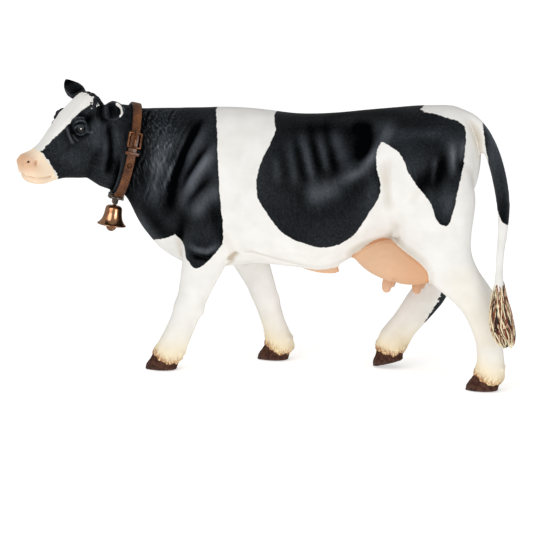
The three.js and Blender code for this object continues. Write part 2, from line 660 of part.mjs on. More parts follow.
function makeTrunk(parts) {
  const socketDiameter = NECK_SPIGOT_DIAMETER + 2 * GLUE_GAP;
  const neckSocket = neckPeg(socketDiameter, NECK_SPIGOT_LENGTH + GLUE_GAP);
  const barrel = loft(trunkSections, { ...TRUNK_SHAPE, ...BARREL_FORM });
  const whole = join([barrel, ...parts.map((part) => part.stump)]);
  const hollows = parts.flatMap((part) => [part.recess, part.socket]);
  return cut(whole, [...hollows, neckSocket, udderRecess, makeTail(GLUE_GAP)]);
}

// A point on the neck's outline under the collar, grown outward
function neckPoint(turn, grow) {
  const { crown, keel } = TRUNK_SHAPE;
  return outlinePoint(turn, NECK_HALF_WIDTH + grow, NECK_RISE + grow, NECK_DROP + grow, crown, keel);
}

function neckOutline(grow) {
  const outline = [];
  for (let k = 0; k < STRAP_SIDES; k += 1) {
    const turn = (2 * Math.PI * k) / STRAP_SIDES;
    outline.push(neckPoint(turn, grow));
  }
  return outline;
}
const STRAP_OUTER = GLUE_GAP + STRAP_THICKNESS;

// The strap's outer face at an angle: x out of the leather, y along it, z across it toward the head
function strapFrame(angle) {
  const turn = degrees(angle);
  const at = neckPoint(turn, STRAP_OUTER);
  const ahead = neckPoint(turn + SLOPE_STEP, STRAP_OUTER);
  const way = ahead.sub(neckPoint(turn - SLOPE_STEP, STRAP_OUTER)).normalize();
  const out = vector(way.y, -way.x, 0);
  const matrix = new THREE.Matrix4().makeBasis(out, vector(way.x, way.y, 0), Z_AXIS);
  return matrix.setPosition(at.x, at.y, 0);
}

// A flat outline in the strap frame's y and z, extruded outward from the leather
function plate(shape, thickness, lift) {
  const basis = new THREE.Matrix4().makeBasis(vector(0, 1, 0), Z_AXIS, vector(1, 0, 0));
  return extruded(shape, thickness).applyMatrix4(basis).translate(lift, 0, 0);
}

function rectangle(width, height) {
  const shape = new THREE.Shape();
  shape.moveTo(-width / 2, -height / 2);
  shape.lineTo(width / 2, -height / 2);
  shape.lineTo(width / 2, height / 2);
  shape.lineTo(-width / 2, height / 2);
  shape.closePath();
  return shape;
}

function makeStrap() {
  const shape = new THREE.Shape(neckOutline(STRAP_OUTER));
  shape.holes.push(new THREE.Path(neckOutline(GLUE_GAP)));
  const band = solid(extruded(shape, STRAP_WIDTH).translate(0, 0, -STRAP_WIDTH / 2));
  const radius = RIVET_SHANK_DIAMETER / 2 + RUN_GAP;
  const hole = new THREE.CylinderGeometry(radius, radius, 4 * STRAP_THICKNESS, PEG_SIDES);
  return band.subtract(placed(hole.rotateZ(Math.PI / 2), strapFrame(RIVET_ANGLE)));
}

// Buckle frame: a flat loop that lies on the strap
function makeBuckle() {
  const shape = rectangle(BUCKLE_LENGTH, BUCKLE_WIDTH);
  shape.holes.push(rectangle(BUCKLE_LENGTH - 2 * BUCKLE_BAR, BUCKLE_WIDTH - 2 * BUCKLE_BAR));
  return plate(shape, BUCKLE_BAR, RUN_GAP).applyMatrix4(strapFrame(BUCKLE_ANGLE));
}

// Buckle prong: rests on both bars of the frame and hooks down outside the upper one
function makeProng() {
  const rest = RUN_GAP + BUCKLE_BAR + RUN_GAP;
  const outer = BUCKLE_LENGTH / 2 + RUN_GAP;
  const hook = outer + PRONG_THICKNESS;
  const shape = new THREE.Shape();
  shape.moveTo(rest, -BUCKLE_LENGTH / 2);
  shape.lineTo(rest, outer);
  shape.lineTo(GLUE_GAP, outer);
  shape.lineTo(GLUE_GAP, hook);
  shape.lineTo(rest + PRONG_THICKNESS, hook);
  shape.lineTo(rest + PRONG_THICKNESS, -BUCKLE_LENGTH / 2);
  shape.closePath();
  const prong = extruded(shape, PRONG_WIDTH).translate(0, 0, -PRONG_WIDTH / 2);
  return prong.applyMatrix4(strapFrame(BUCKLE_ANGLE));
}

// A channel that grips both edges of the strap: its web lies on the leather, its flanges beside it
function gripShape(thickness) {
  const inner = STRAP_WIDTH / 2 + RUN_GAP;
  const outer = inner + thickness;
  const shape = new THREE.Shape();
  shape.moveTo(-STRAP_THICKNESS, inner);
  shape.lineTo(-STRAP_THICKNESS, outer);
  shape.lineTo(RUN_GAP + thickness, outer);
  shape.lineTo(RUN_GAP + thickness, -outer);
  shape.lineTo(-STRAP_THICKNESS, -outer);
  shape.lineTo(-STRAP_THICKNESS, -inner);
  shape.lineTo(RUN_GAP, -inner);
  shape.lineTo(RUN_GAP, inner);
  shape.closePath();
  return shape;
}

function grip(thickness, length) {
  const channel = extruded(gripShape(thickness), length).translate(0, 0, -length / 2);
  const basis = new THREE.Matrix4().makeBasis(vector(1, 0, 0), Z_AXIS, vector(0, -1, 0));
  return channel.applyMatrix4(basis);
}

function makeKeeper() {
  return grip(KEEPER_THICKNESS, KEEPER_LENGTH).applyMatrix4(strapFrame(KEEPER_ANGLE));
}

function makeRivet() {
  const head = RIVET_HEAD_DIAMETER / 2;
  const shank = RIVET_SHANK_DIAMETER / 2;
  const profile = [
    [0, -STRAP_THICKNESS],
    [shank, -STRAP_THICKNESS],
    [shank, RUN_GAP],
    [head, RUN_GAP],
    [RIVET_CROWN_DIAMETER / 2, RUN_GAP + RIVET_HEAD_HEIGHT],
    [0, RUN_GAP + RIVET_HEAD_HEIGHT],
  ];
  const rivet = turned(profile, PEG_SIDES).rotateY(Math.PI / 2);
  return rivet.applyMatrix4(strapFrame(RIVET_ANGLE));
}

// Bell pin: it lies across the neck, so far under the hanger's web that the bell's eye turns freely
const hangerFrame = strapFrame(-90);
const webDepth = RUN_GAP + HANGER_THICKNESS;
const pinDrop = EYE_RADIUS + RUN_GAP;
const pinUnderStrap = vector(webDepth + pinDrop, 0, 0).applyMatrix4(hangerFrame);
const pinCentre = pinUnderStrap.applyMatrix4(collarMatrix);
const pinAxis = collar.across;
const lugInner = EYE_THICKNESS / 2 + RUN_GAP;
const pinLength = 2 * (lugInner + LUG_THICKNESS + RUN_GAP);

// A disc on the pin axis, from one offset along it to another
function pinDisc(from, to, radius) {
  const start = pinCentre.clone().addScaledVector(pinAxis, from);
  return peg(start, pinAxis, 2 * radius, to - from, BELL_SIDES);
}
const pinBore = pinDisc(-pinLength, pinLength, PIN_DIAMETER / 2 + RUN_GAP);

function makeHanger() {
  const body = placed(grip(HANGER_THICKNESS, HANGER_LENGTH).applyMatrix4(hangerFrame), collarMatrix);
  const lugs = [-lugInner - LUG_THICKNESS, lugInner].map((from) => {
    const disc = pinDisc(from, from + LUG_THICKNESS, LUG_RADIUS);
    const reach = pinDrop + HANGER_THICKNESS / 2;
    const arm = new THREE.BoxGeometry(reach, LUG_THICKNESS, 2 * LUG_RADIUS);
    arm.translate(webDepth + pinDrop - reach / 2, from + LUG_THICKNESS / 2, 0);
    return disc.add(placed(arm.applyMatrix4(hangerFrame), collarMatrix));
  });
  return join([body, ...lugs]).subtract(pinBore);
}

// Bell frame: origin at the bell pin, y along the pin, z up out of the crown
const bellUp = Z_AXIS.clone().applyAxisAngle(pinAxis, degrees(BELL_TILT));
const bellMatrix = new THREE.Matrix4().makeBasis(pinAxis.clone().cross(bellUp), pinAxis, bellUp);
bellMatrix.setPosition(pinCentre);
const bellPoint = (height) => vector(0, 0, height).applyMatrix4(bellMatrix);
const CROWN_TOP = -LUG_RADIUS - GLUE_GAP;
const CEILING = CROWN_TOP - BELL_WALL;
const CLAPPER_PIN = CEILING - GLUE_GAP - CLAPPER_EYE_RADIUS;

// The bell's wall under its shoulder: drop is the share of the height, flare of the widening
const bellCurve = [
  { drop: BELL_SHOULDER, flare: 0 },
  { drop: 0.4, flare: 0.1 },
  { drop: 0.7, flare: 0.34 },
  { drop: 0.93, flare: 0.84 },
  { drop: 1, flare: 1 },
];
const bellOutside = bellCurve.map(({ drop, flare }) => [
  THREE.MathUtils.lerp(BELL_CROWN_RADIUS, BELL_MOUTH_RADIUS, flare),
  CROWN_TOP - BELL_HEIGHT * drop,
]);

// The bell is turned as one shell, from the middle of its ceiling round the lip to its crown
function makeBell() {
  const inside = bellOutside.map(([radius, height]) => [radius - BELL_WALL, height]);
  inside[0][1] -= BELL_WALL;
  const profile = [
    [0, CEILING],
    [inside[0][0] * BELL_CROWN_FLAT, CEILING],
    ...inside,
    ...[...bellOutside].reverse(),
    [BELL_CROWN_RADIUS * BELL_CROWN_FLAT, CROWN_TOP],
    [0, CROWN_TOP],
  ];
  const shell = placed(turned(profile, BELL_SIDES), bellMatrix);
  const disc = pinDisc(-EYE_THICKNESS / 2, EYE_THICKNESS / 2, EYE_RADIUS);
  const root = CROWN_TOP - BELL_WALL / 2;
  const stem = new THREE.BoxGeometry(2 * EYE_RADIUS, EYE_THICKNESS, -root);
  const eye = disc.add(placed(stem.translate(0, 0, root / 2), bellMatrix));
  return cut(shell.add(eye), [pinBore, clapperPin(RUN_GAP)]);
}

// Clapper pin: across the inside of the bell, let into its wall at both ends
const clapperCentre = bellPoint(CLAPPER_PIN);
const clapperPinLength = 2 * (BELL_CROWN_RADIUS - BELL_WALL / 2);
function clapperPin(grow) {
  const length = clapperPinLength + 2 * grow;
  const start = clapperCentre.clone().addScaledVector(pinAxis, -length / 2);
  return peg(start, pinAxis, CLAPPER_PIN_DIAMETER + 2 * grow, length);
}

function makeClapper() {
  const eyeStart = clapperCentre.clone().addScaledVector(pinAxis, -CLAPPER_ROD_DIAMETER / 2);
  const eye = peg(eyeStart, pinAxis, 2 * CLAPPER_EYE_RADIUS, CLAPPER_ROD_DIAMETER);
  const rodStart = bellPoint(CLAPPER_PIN - CLAPPER_LENGTH);
  const rodLength = CLAPPER_LENGTH - CLAPPER_PIN_DIAMETER;
  const rod = peg(rodStart, bellUp, CLAPPER_ROD_DIAMETER, rodLength);
  const ball = new THREE.SphereGeometry(CLAPPER_BALL_DIAMETER / 2, ...BALL_FACETS);
  const bob = placed(ball, new THREE.Matrix4().setPosition(rodStart));
  return join([eye, rod, bob]).subtract(clapperPin(RUN_GAP));
}

// Assembly
const figure = new THREE.Group();
const collarGroup = new THREE.Group();
collarGroup.applyMatrix4(collarMatrix);
figure.add(collarGroup);

function addPiece(group, name, geometry, finish) {
  const mesh = new THREE.Mesh(geometry, new THREE.MeshStandardMaterial(finish));
  mesh.name = name;
  group.add(mesh);
}

const limbParts = {};
for (const [name, limb] of Object.entries(limbs)) {
  limbParts[name] = makeLimb(limb);
}
addPiece(figure, "torso", geometryOf(makeTrunk(Object.values(limbParts))), WHITE_COAT);
addPiece(figure, "head", geometryOf(makeHead()), BLACK_COAT);
for (const [name, ear] of Object.entries(ears)) {
  addPiece(figure, name, geometryOf(makeEar(ear, 0)), BLACK_COAT);
}
for (const [name, part] of Object.entries(limbParts)) {
  addPiece(figure, name, geometryOf(part.leg.subtract(udderRecess)), WHITE_COAT);
}
addPiece(figure, "udder", geometryOf(makeUdder(0)), UDDER_PINK);
addPiece(figure, "tail", geometryOf(makeTail(0)), WHITE_COAT);
addPiece(collarGroup, "collar_strap", geometryOf(makeStrap()), LEATHER);
addPiece(collarGroup, "buckle_frame", makeBuckle(), BRASS);
addPiece(collarGroup, "buckle_prong", makeProng(), BRASS);
addPiece(collarGroup, "strap_keeper", makeKeeper(), LEATHER);
addPiece(collarGroup, "collar_rivet", makeRivet(), BRASS);
const bellPin = pinDisc(-pinLength / 2, pinLength / 2, PIN_DIAMETER / 2);
addPiece(figure, "bell_hanger", geometryOf(makeHanger()), BRASS);
addPiece(figure, "bell_pin", geometryOf(bellPin), BRASS);
addPiece(figure, "bell", geometryOf(makeBell()), COPPER);
addPiece(figure, "clapper_pin", geometryOf(clapperPin(0)), COPPER);
addPiece(figure, "clapper", geometryOf(makeClapper()), COPPER);

// The origin is under the middle of the figure, on the surface that it stands on
const box = new THREE.Box3().setFromObject(figure, true);
const middle = box.getCenter(vector(0, 0, 0));
figure.position.set(-middle.x, -middle.y, -box.min.z);

const root = new THREE.Group();
root.add(figure);
export default root;
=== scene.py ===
"""A painted dairy cow figure with a buckled collar and a bell, dressed on its CAD frame."""

import math

import bmesh
import bpy
import numpy as np
from mathutils import Matrix, Vector


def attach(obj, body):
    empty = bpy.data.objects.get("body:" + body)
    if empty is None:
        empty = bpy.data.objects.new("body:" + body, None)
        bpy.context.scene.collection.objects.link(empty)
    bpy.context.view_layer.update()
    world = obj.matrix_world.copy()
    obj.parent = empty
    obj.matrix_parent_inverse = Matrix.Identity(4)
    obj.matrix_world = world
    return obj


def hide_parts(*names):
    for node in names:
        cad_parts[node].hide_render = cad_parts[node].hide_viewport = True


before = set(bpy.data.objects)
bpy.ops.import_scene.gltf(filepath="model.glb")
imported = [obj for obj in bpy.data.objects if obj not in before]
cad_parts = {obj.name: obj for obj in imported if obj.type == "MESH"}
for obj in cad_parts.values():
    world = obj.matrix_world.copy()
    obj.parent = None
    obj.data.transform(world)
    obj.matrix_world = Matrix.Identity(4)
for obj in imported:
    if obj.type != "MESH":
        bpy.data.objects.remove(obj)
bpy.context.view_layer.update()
scene = bpy.context.scene

# Camera
# A long lens, a little above the figure's back and a little behind its middle, held a
# degree off level. Its lens is worked out for a picture of 540 by 540.
MM = 0.001
PICTURE_SIDE = 540
FOCAL_PIXELS = 2500
SENSOR_WIDTH = 36.0
CAMERA_DISTANCE = 700 * MM
CAMERA_AIM = Vector((-2.4349, 4.0127, 27.9)) * MM
CAMERA_AZIMUTH = math.radians(12)
CAMERA_ELEVATION = math.radians(10.5)
CAMERA_ROLL = math.radians(1.0)
NEAREST_SEEN = 10 * MM

camera = bpy.data.objects.new("camera", bpy.data.cameras.new("camera"))
camera.data.sensor_width = SENSOR_WIDTH
camera.data.lens = SENSOR_WIDTH * FOCAL_PIXELS / PICTURE_SIDE
camera.data.clip_start = NEAREST_SEEN
camera.matrix_world = (
    Matrix.Translation(CAMERA_AIM)
    @ Matrix.Rotation(CAMERA_AZIMUTH, 4, "Z")
    @ Matrix.Rotation(math.radians(90) - CAMERA_ELEVATION, 4, "X")
    @ Matrix.Rotation(CAMERA_ROLL, 4, "Z")
    @ Matrix.Translation((0, 0, CAMERA_DISTANCE))
)
scene.collection.objects.link(camera)
scene.camera = camera
scene.view_settings.view_transform = "Standard"

# Studio
# A white sweep that glows a little, under soft white light: a dim even room, one broad lamp
# overhead, and round softboxes by the camera whose reflections draw the dark paint's shapes.
WHITE = (1, 1, 1, 1)
FLOOR_SIZE = 8.0
FLOOR_GLOW = 0.53
ROOM_GLOW = 0.3
OVERHEAD_STRENGTH = 0.95
OVERHEAD_SPREAD = math.radians(70)
OVERHEAD_FROM = (-0.25, -0.35, 0.9)
LIT_HEIGHT = 0.045
SOFTBOXES = (
    {"at": (-0.32, -0.78, 0.42), "side": 0.7, "power": 2.1},
    {"at": (0.66, -0.56, 0.16), "side": 0.42, "power": 1.7},
)


def linear(code):
    """An sRGB hex colour as the linear RGBA that a shader takes"""
    shares = [int(code[i : i + 2], 16) / 255 for i in (1, 3, 5)]
    return tuple(
        s / 12.92 if s <= 0.04045 else ((s + 0.055) / 1.055) ** 2.4 for s in shares
    ) + (1.0,)


def add(tree, kind, inputs=(), output=0, **settings):
    """Adds a shader node and gives one of its outputs; inputs go by socket, or in their order"""
    made = tree.nodes.new("ShaderNode" + kind)
    for name, value in settings.items():
        setattr(made, name, value)
    for key, value in inputs.items() if isinstance(inputs, dict) else enumerate(inputs):
        if isinstance(value, bpy.types.NodeSocket):
            tree.links.new(value, made.inputs[key])
        else:
            made.inputs[key].default_value = value
    return made.outputs[output] if len(made.outputs) else None


def material(name):
    """A new material, and its node tree with nothing in it"""
    made = bpy.data.materials.new(name)
    made.use_nodes = True
    made.node_tree.nodes.clear()
    return made, made.node_tree


room = bpy.data.worlds.new("room")
room.use_nodes = True
tree = room.node_tree
tree.nodes.clear()
sky = add(tree, "Background", {"Color": WHITE, "Strength": ROOM_GLOW})
add(tree, "OutputWorld", {"Surface": sky})
scene.world = room

overhead = bpy.data.objects.new("overhead", bpy.data.lights.new("overhead", "SUN"))
overhead.data.energy = OVERHEAD_STRENGTH
overhead.data.angle = OVERHEAD_SPREAD
overhead.rotation_euler = Vector(OVERHEAD_FROM).to_track_quat("Z", "Y").to_euler()
overhead.visible_glossy = False
scene.collection.objects.link(overhead)
for box in SOFTBOXES:
    lamp = bpy.data.objects.new("softbox", bpy.data.lights.new("softbox", "AREA"))
    lamp.data.shape = "DISK"
    lamp.data.size = box["side"]
    lamp.data.energy = box["power"]
    lamp.location = box["at"]
    away = Vector(box["at"]) - Vector((0, 0, LIT_HEIGHT))
    lamp.rotation_euler = away.to_track_quat("Z", "Y").to_euler()
    scene.collection.objects.link(lamp)

# Matt paper: it shows no lamp, and its glow burns it out to an even white with soft shadows
paper, tree = material("white paper")
card = add(
    tree,
    "BsdfPrincipled",
    {
        "Base Color": linear("#f4f4f4"),
        "Roughness": 0.9,
        "Specular IOR Level": 0.1,
        "Emission Color": WHITE,
        "Emission Strength": FLOOR_GLOW,
    },
)
add(tree, "OutputMaterial", {"Surface": card})
sheet = bmesh.new()
bmesh.ops.create_grid(sheet, x_segments=1, y_segments=1, size=FLOOR_SIZE / 2)
floor_mesh = bpy.data.meshes.new("floor")
sheet.to_mesh(floor_mesh)
sheet.free()
floor_mesh.materials.append(paper)
floor = bpy.data.objects.new("floor", floor_mesh)
floor.visible_glossy = False
scene.collection.objects.link(floor)

# Body casting
# The trunk, legs, udder and tail are PVC castings, glued and filled so that no seam shows.
# One clay skin is kneaded over copies of the solids, worked over, and cut at the seams.
MID_Y = 4.0
SKIN_VOXEL = 0.44
SEAM_FILL = 0.25
WELD = 1e-6
# The middle of each leg's sole, and by how many degrees its heel is lifted
FEET = {
    "fore_leg_left": {"at": (-30.835, -6.587), "lift": 0},
    "fore_leg_right": {"at": (-3.435, 14.813), "lift": 0},
    "hind_leg_left": {"at": (59.465, -7.087), "lift": 0},
    "hind_leg_right": {"at": (30.165, 13.913), "lift": 15},
}
BODY_NODES = ("torso", "head", *FEET, "udder", "tail")
# The body ends under the collar, whose ring is turned to the side and leans back
COLLAR_AT = np.array((-43.2349, -0.6873, 59.9))
COLLAR_TURN = math.radians(26)
COLLAR_LEAN = math.radians(12)
ACROSS = Vector((math.sin(COLLAR_TURN), -math.cos(COLLAR_TURN), 0))
FORWARD = Vector((-math.cos(COLLAR_TURN), -math.sin(COLLAR_TURN), 0))
RISE = Vector((0, 0, math.cos(COLLAR_LEAN))) - FORWARD * math.sin(COLLAR_LEAN)
ALONG = ACROSS.cross(RISE)


def grown_copy(names, grow):
    """A bmesh of CAD nodes, each point pushed out by grow millimetres"""
    clay = bmesh.new()
    for name in names:
        clay.from_mesh(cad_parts[name].data)
    bmesh.ops.remove_doubles(clay, verts=clay.verts, dist=WELD)
    clay.normal_update()
    for point in clay.verts:
        point.co += point.normal * grow * MM
    return clay


def as_mesh(clay, name):
    """A bmesh turned into a mesh and freed"""
    made = bpy.data.meshes.new(name)
    clay.to_mesh(made)
    clay.free()
    return made


def put(mesh, name):
    """A new object for a mesh, in the scene"""
    made = bpy.data.objects.new(name, mesh)
    scene.collection.objects.link(made)
    return made


def worked(mesh, kind, **settings):
    """The mesh that one modifier makes of a mesh"""
    holder = put(mesh, "holder")
    step = holder.modifiers.new("step", kind)
    for name, value in settings.items():
        setattr(step, name, value)
    depsgraph = bpy.context.evaluated_depsgraph_get()
    made = bpy.data.meshes.new_from_object(holder.evaluated_get(depsgraph))
    bpy.data.objects.remove(holder)
    return made


def kneaded(clay, voxel):
    """One closed skin over everything in a bmesh, which is freed"""
    return worked(as_mesh(clay, "clay"), "REMESH", mode="VOXEL", voxel_size=voxel * MM)


def cut(mesh, tool, operation):
    """A mesh cut by another: operation is INTERSECT or DIFFERENCE"""
    blade = put(tool, "blade")
    made = worked(mesh, "BOOLEAN", operation=operation, object=blade, solver="MANIFOLD")
    bpy.data.objects.remove(blade)
    return made


def parted(mesh, clay, voxel):
    """A mesh in two: what lies inside the skin of a bmesh, and what is left"""
    tool = kneaded(clay, voxel)
    return cut(mesh, tool, "INTERSECT"), cut(mesh, tool, "DIFFERENCE")


def points(mesh):
    """A mesh's points, in millimetres"""
    flat = np.empty(len(mesh.vertices) * 3)
    mesh.vertices.foreach_get("co", flat)
    return flat.reshape(-1, 3) / MM


def normals(mesh):
    """A mesh's outward directions at its points"""
    flat = np.empty(len(mesh.vertices) * 3)
    mesh.vertex_normals.foreach_get("vector", flat)
    return flat.reshape(-1, 3)


def set_points(mesh, at):
    """Moves a mesh's points to the given places, in millimetres"""
    mesh.vertices.foreach_set("co", (at * MM).ravel())
    mesh.update()


def averaged(mesh, rows, rounds, softness):
    """Rows of values at a mesh's points, each drawn toward the mean of its neighbours"""
    ends = np.empty(len(mesh.edges) * 2, np.int32)
    mesh.edges.foreach_get("vertices", ends)
    first, second = ends.reshape(-1, 2).T
    here = np.concatenate([first, second])
    there = np.concatenate([second, first])
    count = np.bincount(here, minlength=len(rows))
    rows = rows.copy()
    for _ in range(rounds):
        for column in rows.T:
            total = np.bincount(here, column[there], len(column))
            column += softness * (total / count - column)
    return rows


def relax(mesh, rounds, softness):
    """Smooths a mesh; softness says how far each point follows its neighbours"""
    set_points(mesh, averaged(mesh, points(mesh), rounds, softness))


def ease(value, low, high):
    """A smooth step from 0 at low to 1 at high"""
    t = np.clip((value - low) / (high - low), 0, 1)
    return t * t * (3 - 2 * t)


def hill(value, half):
    """A bell curve over value: 1 at 0, and about a third at half"""
    return np.exp(-((value / half) ** 2))


def nearest(at, path):
    """Each point's distance to a path of straight runs, and its share of the way along it"""
    path = np.array(path, float)
    gap = np.full(len(at), np.inf)
    way = np.zeros(len(at))
    done = 0.0
    for a, b in zip(path[:-1], path[1:]):
        run = b - a
        share = np.clip((at - a) @ run / (run @ run), 0, 1)
        away = np.linalg.norm(at - a - share[:, None] * run, axis=1)
        way = np.where(away < gap, done + share * np.linalg.norm(run), way)
        gap = np.minimum(gap, away)
        done += np.linalg.norm(run)
    return gap, way / done


def stroke(at, path, width, height, fade):
    """A soft ridge along a path, or a groove where height is below 0, fading at its ends"""
    gap, way = nearest(at, path)
    return height * hill(gap, width) * ease(way, 0, fade) * ease(1 - way, 0, fade)


def bump(at, centre, reach, height):
    """A soft swelling about a centre; reach is its size along each axis"""
    away = (at - np.array(centre, float)) / np.array(reach, float)
    return height * np.exp(-(away**2).sum(1))


def half_kept(clay, place, way):
    """Cuts a bmesh at a plane and keeps the closed part on the side that way points to"""
    everything = [*clay.verts, *clay.edges, *clay.faces]
    result = bmesh.ops.bisect_plane(
        clay, geom=everything, plane_co=place, plane_no=way, clear_inner=True
    )
    rim = [each for each in result["geom_cut"] if isinstance(each, bmesh.types.BMEdge)]
    bmesh.ops.holes_fill(clay, edges=rim, sides=0)
    bmesh.ops.recalc_face_normals(clay, faces=clay.faces)


NAVEL_AT = np.array((11.4, 1.8, 30.0))
NAVEL_REACH = np.array((7.0, 1.5, 1.9))
NAVEL_TILT = math.radians(8)
NAVEL_DETAIL = 4
navel_place = Matrix.Translation(Vector(NAVEL_AT) * MM) @ Matrix.Rotation(NAVEL_TILT, 4, "Y")

QUARTERS_AT = Vector((34.2, -3.7, 34.0)) * MM
QUARTERS_REACH = (12.8, 8.2, 5.7)
QUARTERS_TILT = math.radians(12)
QUARTERS_YAW = math.radians(-16)
QUARTERS_DETAIL = 5
quarters_place = (
    Matrix.Translation(QUARTERS_AT)
    @ Matrix.Rotation(QUARTERS_YAW, 4, "Z")
    @ Matrix.Rotation(QUARTERS_TILT, 4, "Y")
)


def near_quarters(clay, grow):
    """Adds the near half of the udder, which swells out in front of the thigh, to a bmesh"""
    reach = Matrix.Diagonal([*((each + grow) * MM for each in QUARTERS_REACH), 1])
    place = quarters_place @ reach
    bmesh.ops.create_icosphere(clay, subdivisions=QUARTERS_DETAIL, radius=1, matrix=place)


# The trunk is smoothed more than the legs, whose forms are finer
LEGS_TO = 27
TRUNK_FROM = 37
SKIN_ROUNDS = 45
LEG_SOFTNESS = 0.08
TRUNK_SOFTNESS = 0.5

clay = grown_copy(BODY_NODES, SEAM_FILL)
navel_ball = navel_place @ Matrix.Diagonal((*NAVEL_REACH * MM, 1))
bmesh.ops.create_icosphere(clay, subdivisions=NAVEL_DETAIL, radius=1, matrix=navel_ball)
near_quarters(clay, SEAM_FILL)
smooth_skin = kneaded(clay, SKIN_VOXEL)
set_points(smooth_skin, points(smooth_skin) - normals(smooth_skin) * SEAM_FILL)
trunk_share = ease(points(smooth_skin)[:, 2], LEGS_TO, TRUNK_FROM)
relax(smooth_skin, SKIN_ROUNDS, LEG_SOFTNESS + (TRUNK_SOFTNESS - LEG_SOFTNESS) * trunk_share)
clay = bmesh.new()
clay.from_mesh(smooth_skin)
half_kept(clay, Vector(COLLAR_AT) * MM, -ALONG)
body = as_mesh(clay, "body")

# Each form is a stroke of the modelling tool in side view: its path as x and height z, its
# width, and how far it stands out of the body or, below 0, is pressed into it.
FLANK_STROKES = (
    # The shoulder blade and the folds round it
    ([(-18, 71), (-21.4, 69.4), (-25.1, 62), (-26.8, 56.9), (-28.6, 50), (-29, 45)], 1.1, -0.65),
    ([(-24, 69), (-25.6, 63.4), (-28.4, 56.8), (-30.4, 51.6), (-30.7, 46.4)], 0.6, 0.35),
    ([(-31.4, 63), (-33.2, 54), (-33.4, 44)], 2.4, 0.3),
    ([(-18.2, 69.6), (-20.7, 64.8), (-23, 60.4), (-25.6, 55)], 1.6, 0.3),
    ([(-16, 66), (-19.8, 61.2), (-23.2, 55.6), (-25.8, 49.4)], 1.0, -0.5),
    ([(-15.4, 64.6), (-18.8, 59), (-21.6, 54.6), (-24.8, 47)], 2.4, 0.45),
    ([(-16.4, 55.8), (-19.2, 52.4), (-21.4, 49.6), (-23.8, 46.4)], 0.8, -0.2),
    ([(-14.6, 54.4), (-16.8, 50.6), (-19, 47.4), (-23.4, 42.8)], 2.5, 0.5),
    # The rim of skin behind the elbow
    ([(-23.4, 37.4), (-20.2, 35.3), (-17, 35), (-12.6, 37.6)], 1.0, 0.38),
    ([(-23.4, 35.4), (-20.2, 33.3), (-17, 33), (-12.6, 35.6)], 0.9, -0.26),
    # The ribs and the hollows between them
    ([(0.8, 64), (2.3, 59.8), (3.6, 53.4)], 1.6, 0.22),
    ([(4.2, 67.6), (6.6, 60.6), (9, 52)], 1.6, 0.22),
    ([(7, 69), (10.3, 63.8), (13.6, 55)], 1.2, 0.22),
    ([(11.4, 69.2), (14.8, 64), (18, 56.4)], 1.2, 0.22),
    ([(15, 70), (19, 65.2), (22, 59)], 1.9, 0.22),
    ([(4.6, 71), (8, 63), (11.8, 52.6)], 1.3, -0.2),
    ([(8.8, 72), (12.2, 64.6), (16, 55.4)], 1.2, -0.2),
    ([(12.8, 73), (16.4, 65.6), (20, 57)], 1.2, -0.2),
    # The swell of the barrel, the edge of the loin and the hollow before the hip
    ([(9, 52.4), (15.4, 53.2), (21.6, 56)], 3.8, 0.45),
    ([(-0.4, 69.6), (7.9, 70.7), (18, 71.2), (30, 71.6)], 1.6, 0.2),
    ([(25, 73), (25.8, 66.6), (24.4, 58)], 2.5, -0.5),
    ([(29.9, 68.6), (28.6, 63.5), (26.1, 59.8), (19.6, 54.8)], 1.6, 0.35),
    # The hip, the rump, and the thigh with the fold in front of it
    ([(29.8, 70.4), (34.4, 68.6)], 2.4, 0.25),
    ([(32.4, 69.6), (44.3, 69.6), (50, 69.8)], 1.8, 0.25),
    ([(49.1, 69), (49.6, 64), (49.9, 57)], 1.3, 0.5),
    ([(51.9, 69), (51.8, 61)], 0.7, 0.3),
    ([(47.3, 67.4), (46.8, 60.7), (46, 52)], 1.5, -0.16),
    ([(45.2, 65), (44.9, 55.6)], 0.9, 0.25),
    ([(32, 63), (33.2, 53), (33.6, 46)], 1.8, -0.4),
    ([(36.2, 51), (37.6, 44)], 3.0, 0.5),
)
FLANK_FADE = 0.4
# The near side's crease from the elbow along the belly, with the skin swelling over it
BELLY_STROKES = (
    ([(-12.8, 30.4), (-11.1, 32.5), (-9, 34.5)], 0.8, -0.8),
    ([(-9, 34.5), (-5, 34.9), (2.6, 32.8), (13.4, 30.5)], 0.6, -0.45),
    ([(13.4, 30.5), (18.2, 32), (21.5, 33.4)], 0.6, -0.35),
    ([(-8.6, 35.8), (-5, 36.1), (2.6, 34), (13.4, 31.7)], 0.8, 0.3),
    ([(12, 31.9), (17, 32.9), (21.5, 34.7)], 0.7, 0.25),
    ([(33.4, 41.4), (35.2, 40.6)], 1.2, 0.6),
)
BELLY_FADE = 0.1
# How far sideways the skin has to look to be flank, and where the flank begins above the legs
SIDEWAYS = (0.2, 0.5)
FLANK_FROM = (30, 33)
# The rounded croup and the back of the near thigh: place, reach and rise
HAUNCHES = (
    ((49.5, MID_Y, 75.5), (5.5, 7, 4), 0.9),
    ((55, -3, 48), (4, 6, 8), 0.7),
)
BRISKET_STROKE = ([(-42, 47), (-38, 42.5), (-33, 36.5), (-28, 31.5), (-25, 30)], 3.0, 1.1)
BRISKET_WAY = np.array((-0.77, 0, -0.64))
BRISKET_FACING = (0.3, 0.8)
NECK_FRONT = (-44, -39)
NECK_BACK = (-28, -24)
NECK_FROM = (44, 50)
WRINKLE_RISE = 0.13
WRINKLE_RATE = 5.0
WRINKLE_LEAN = 0.25


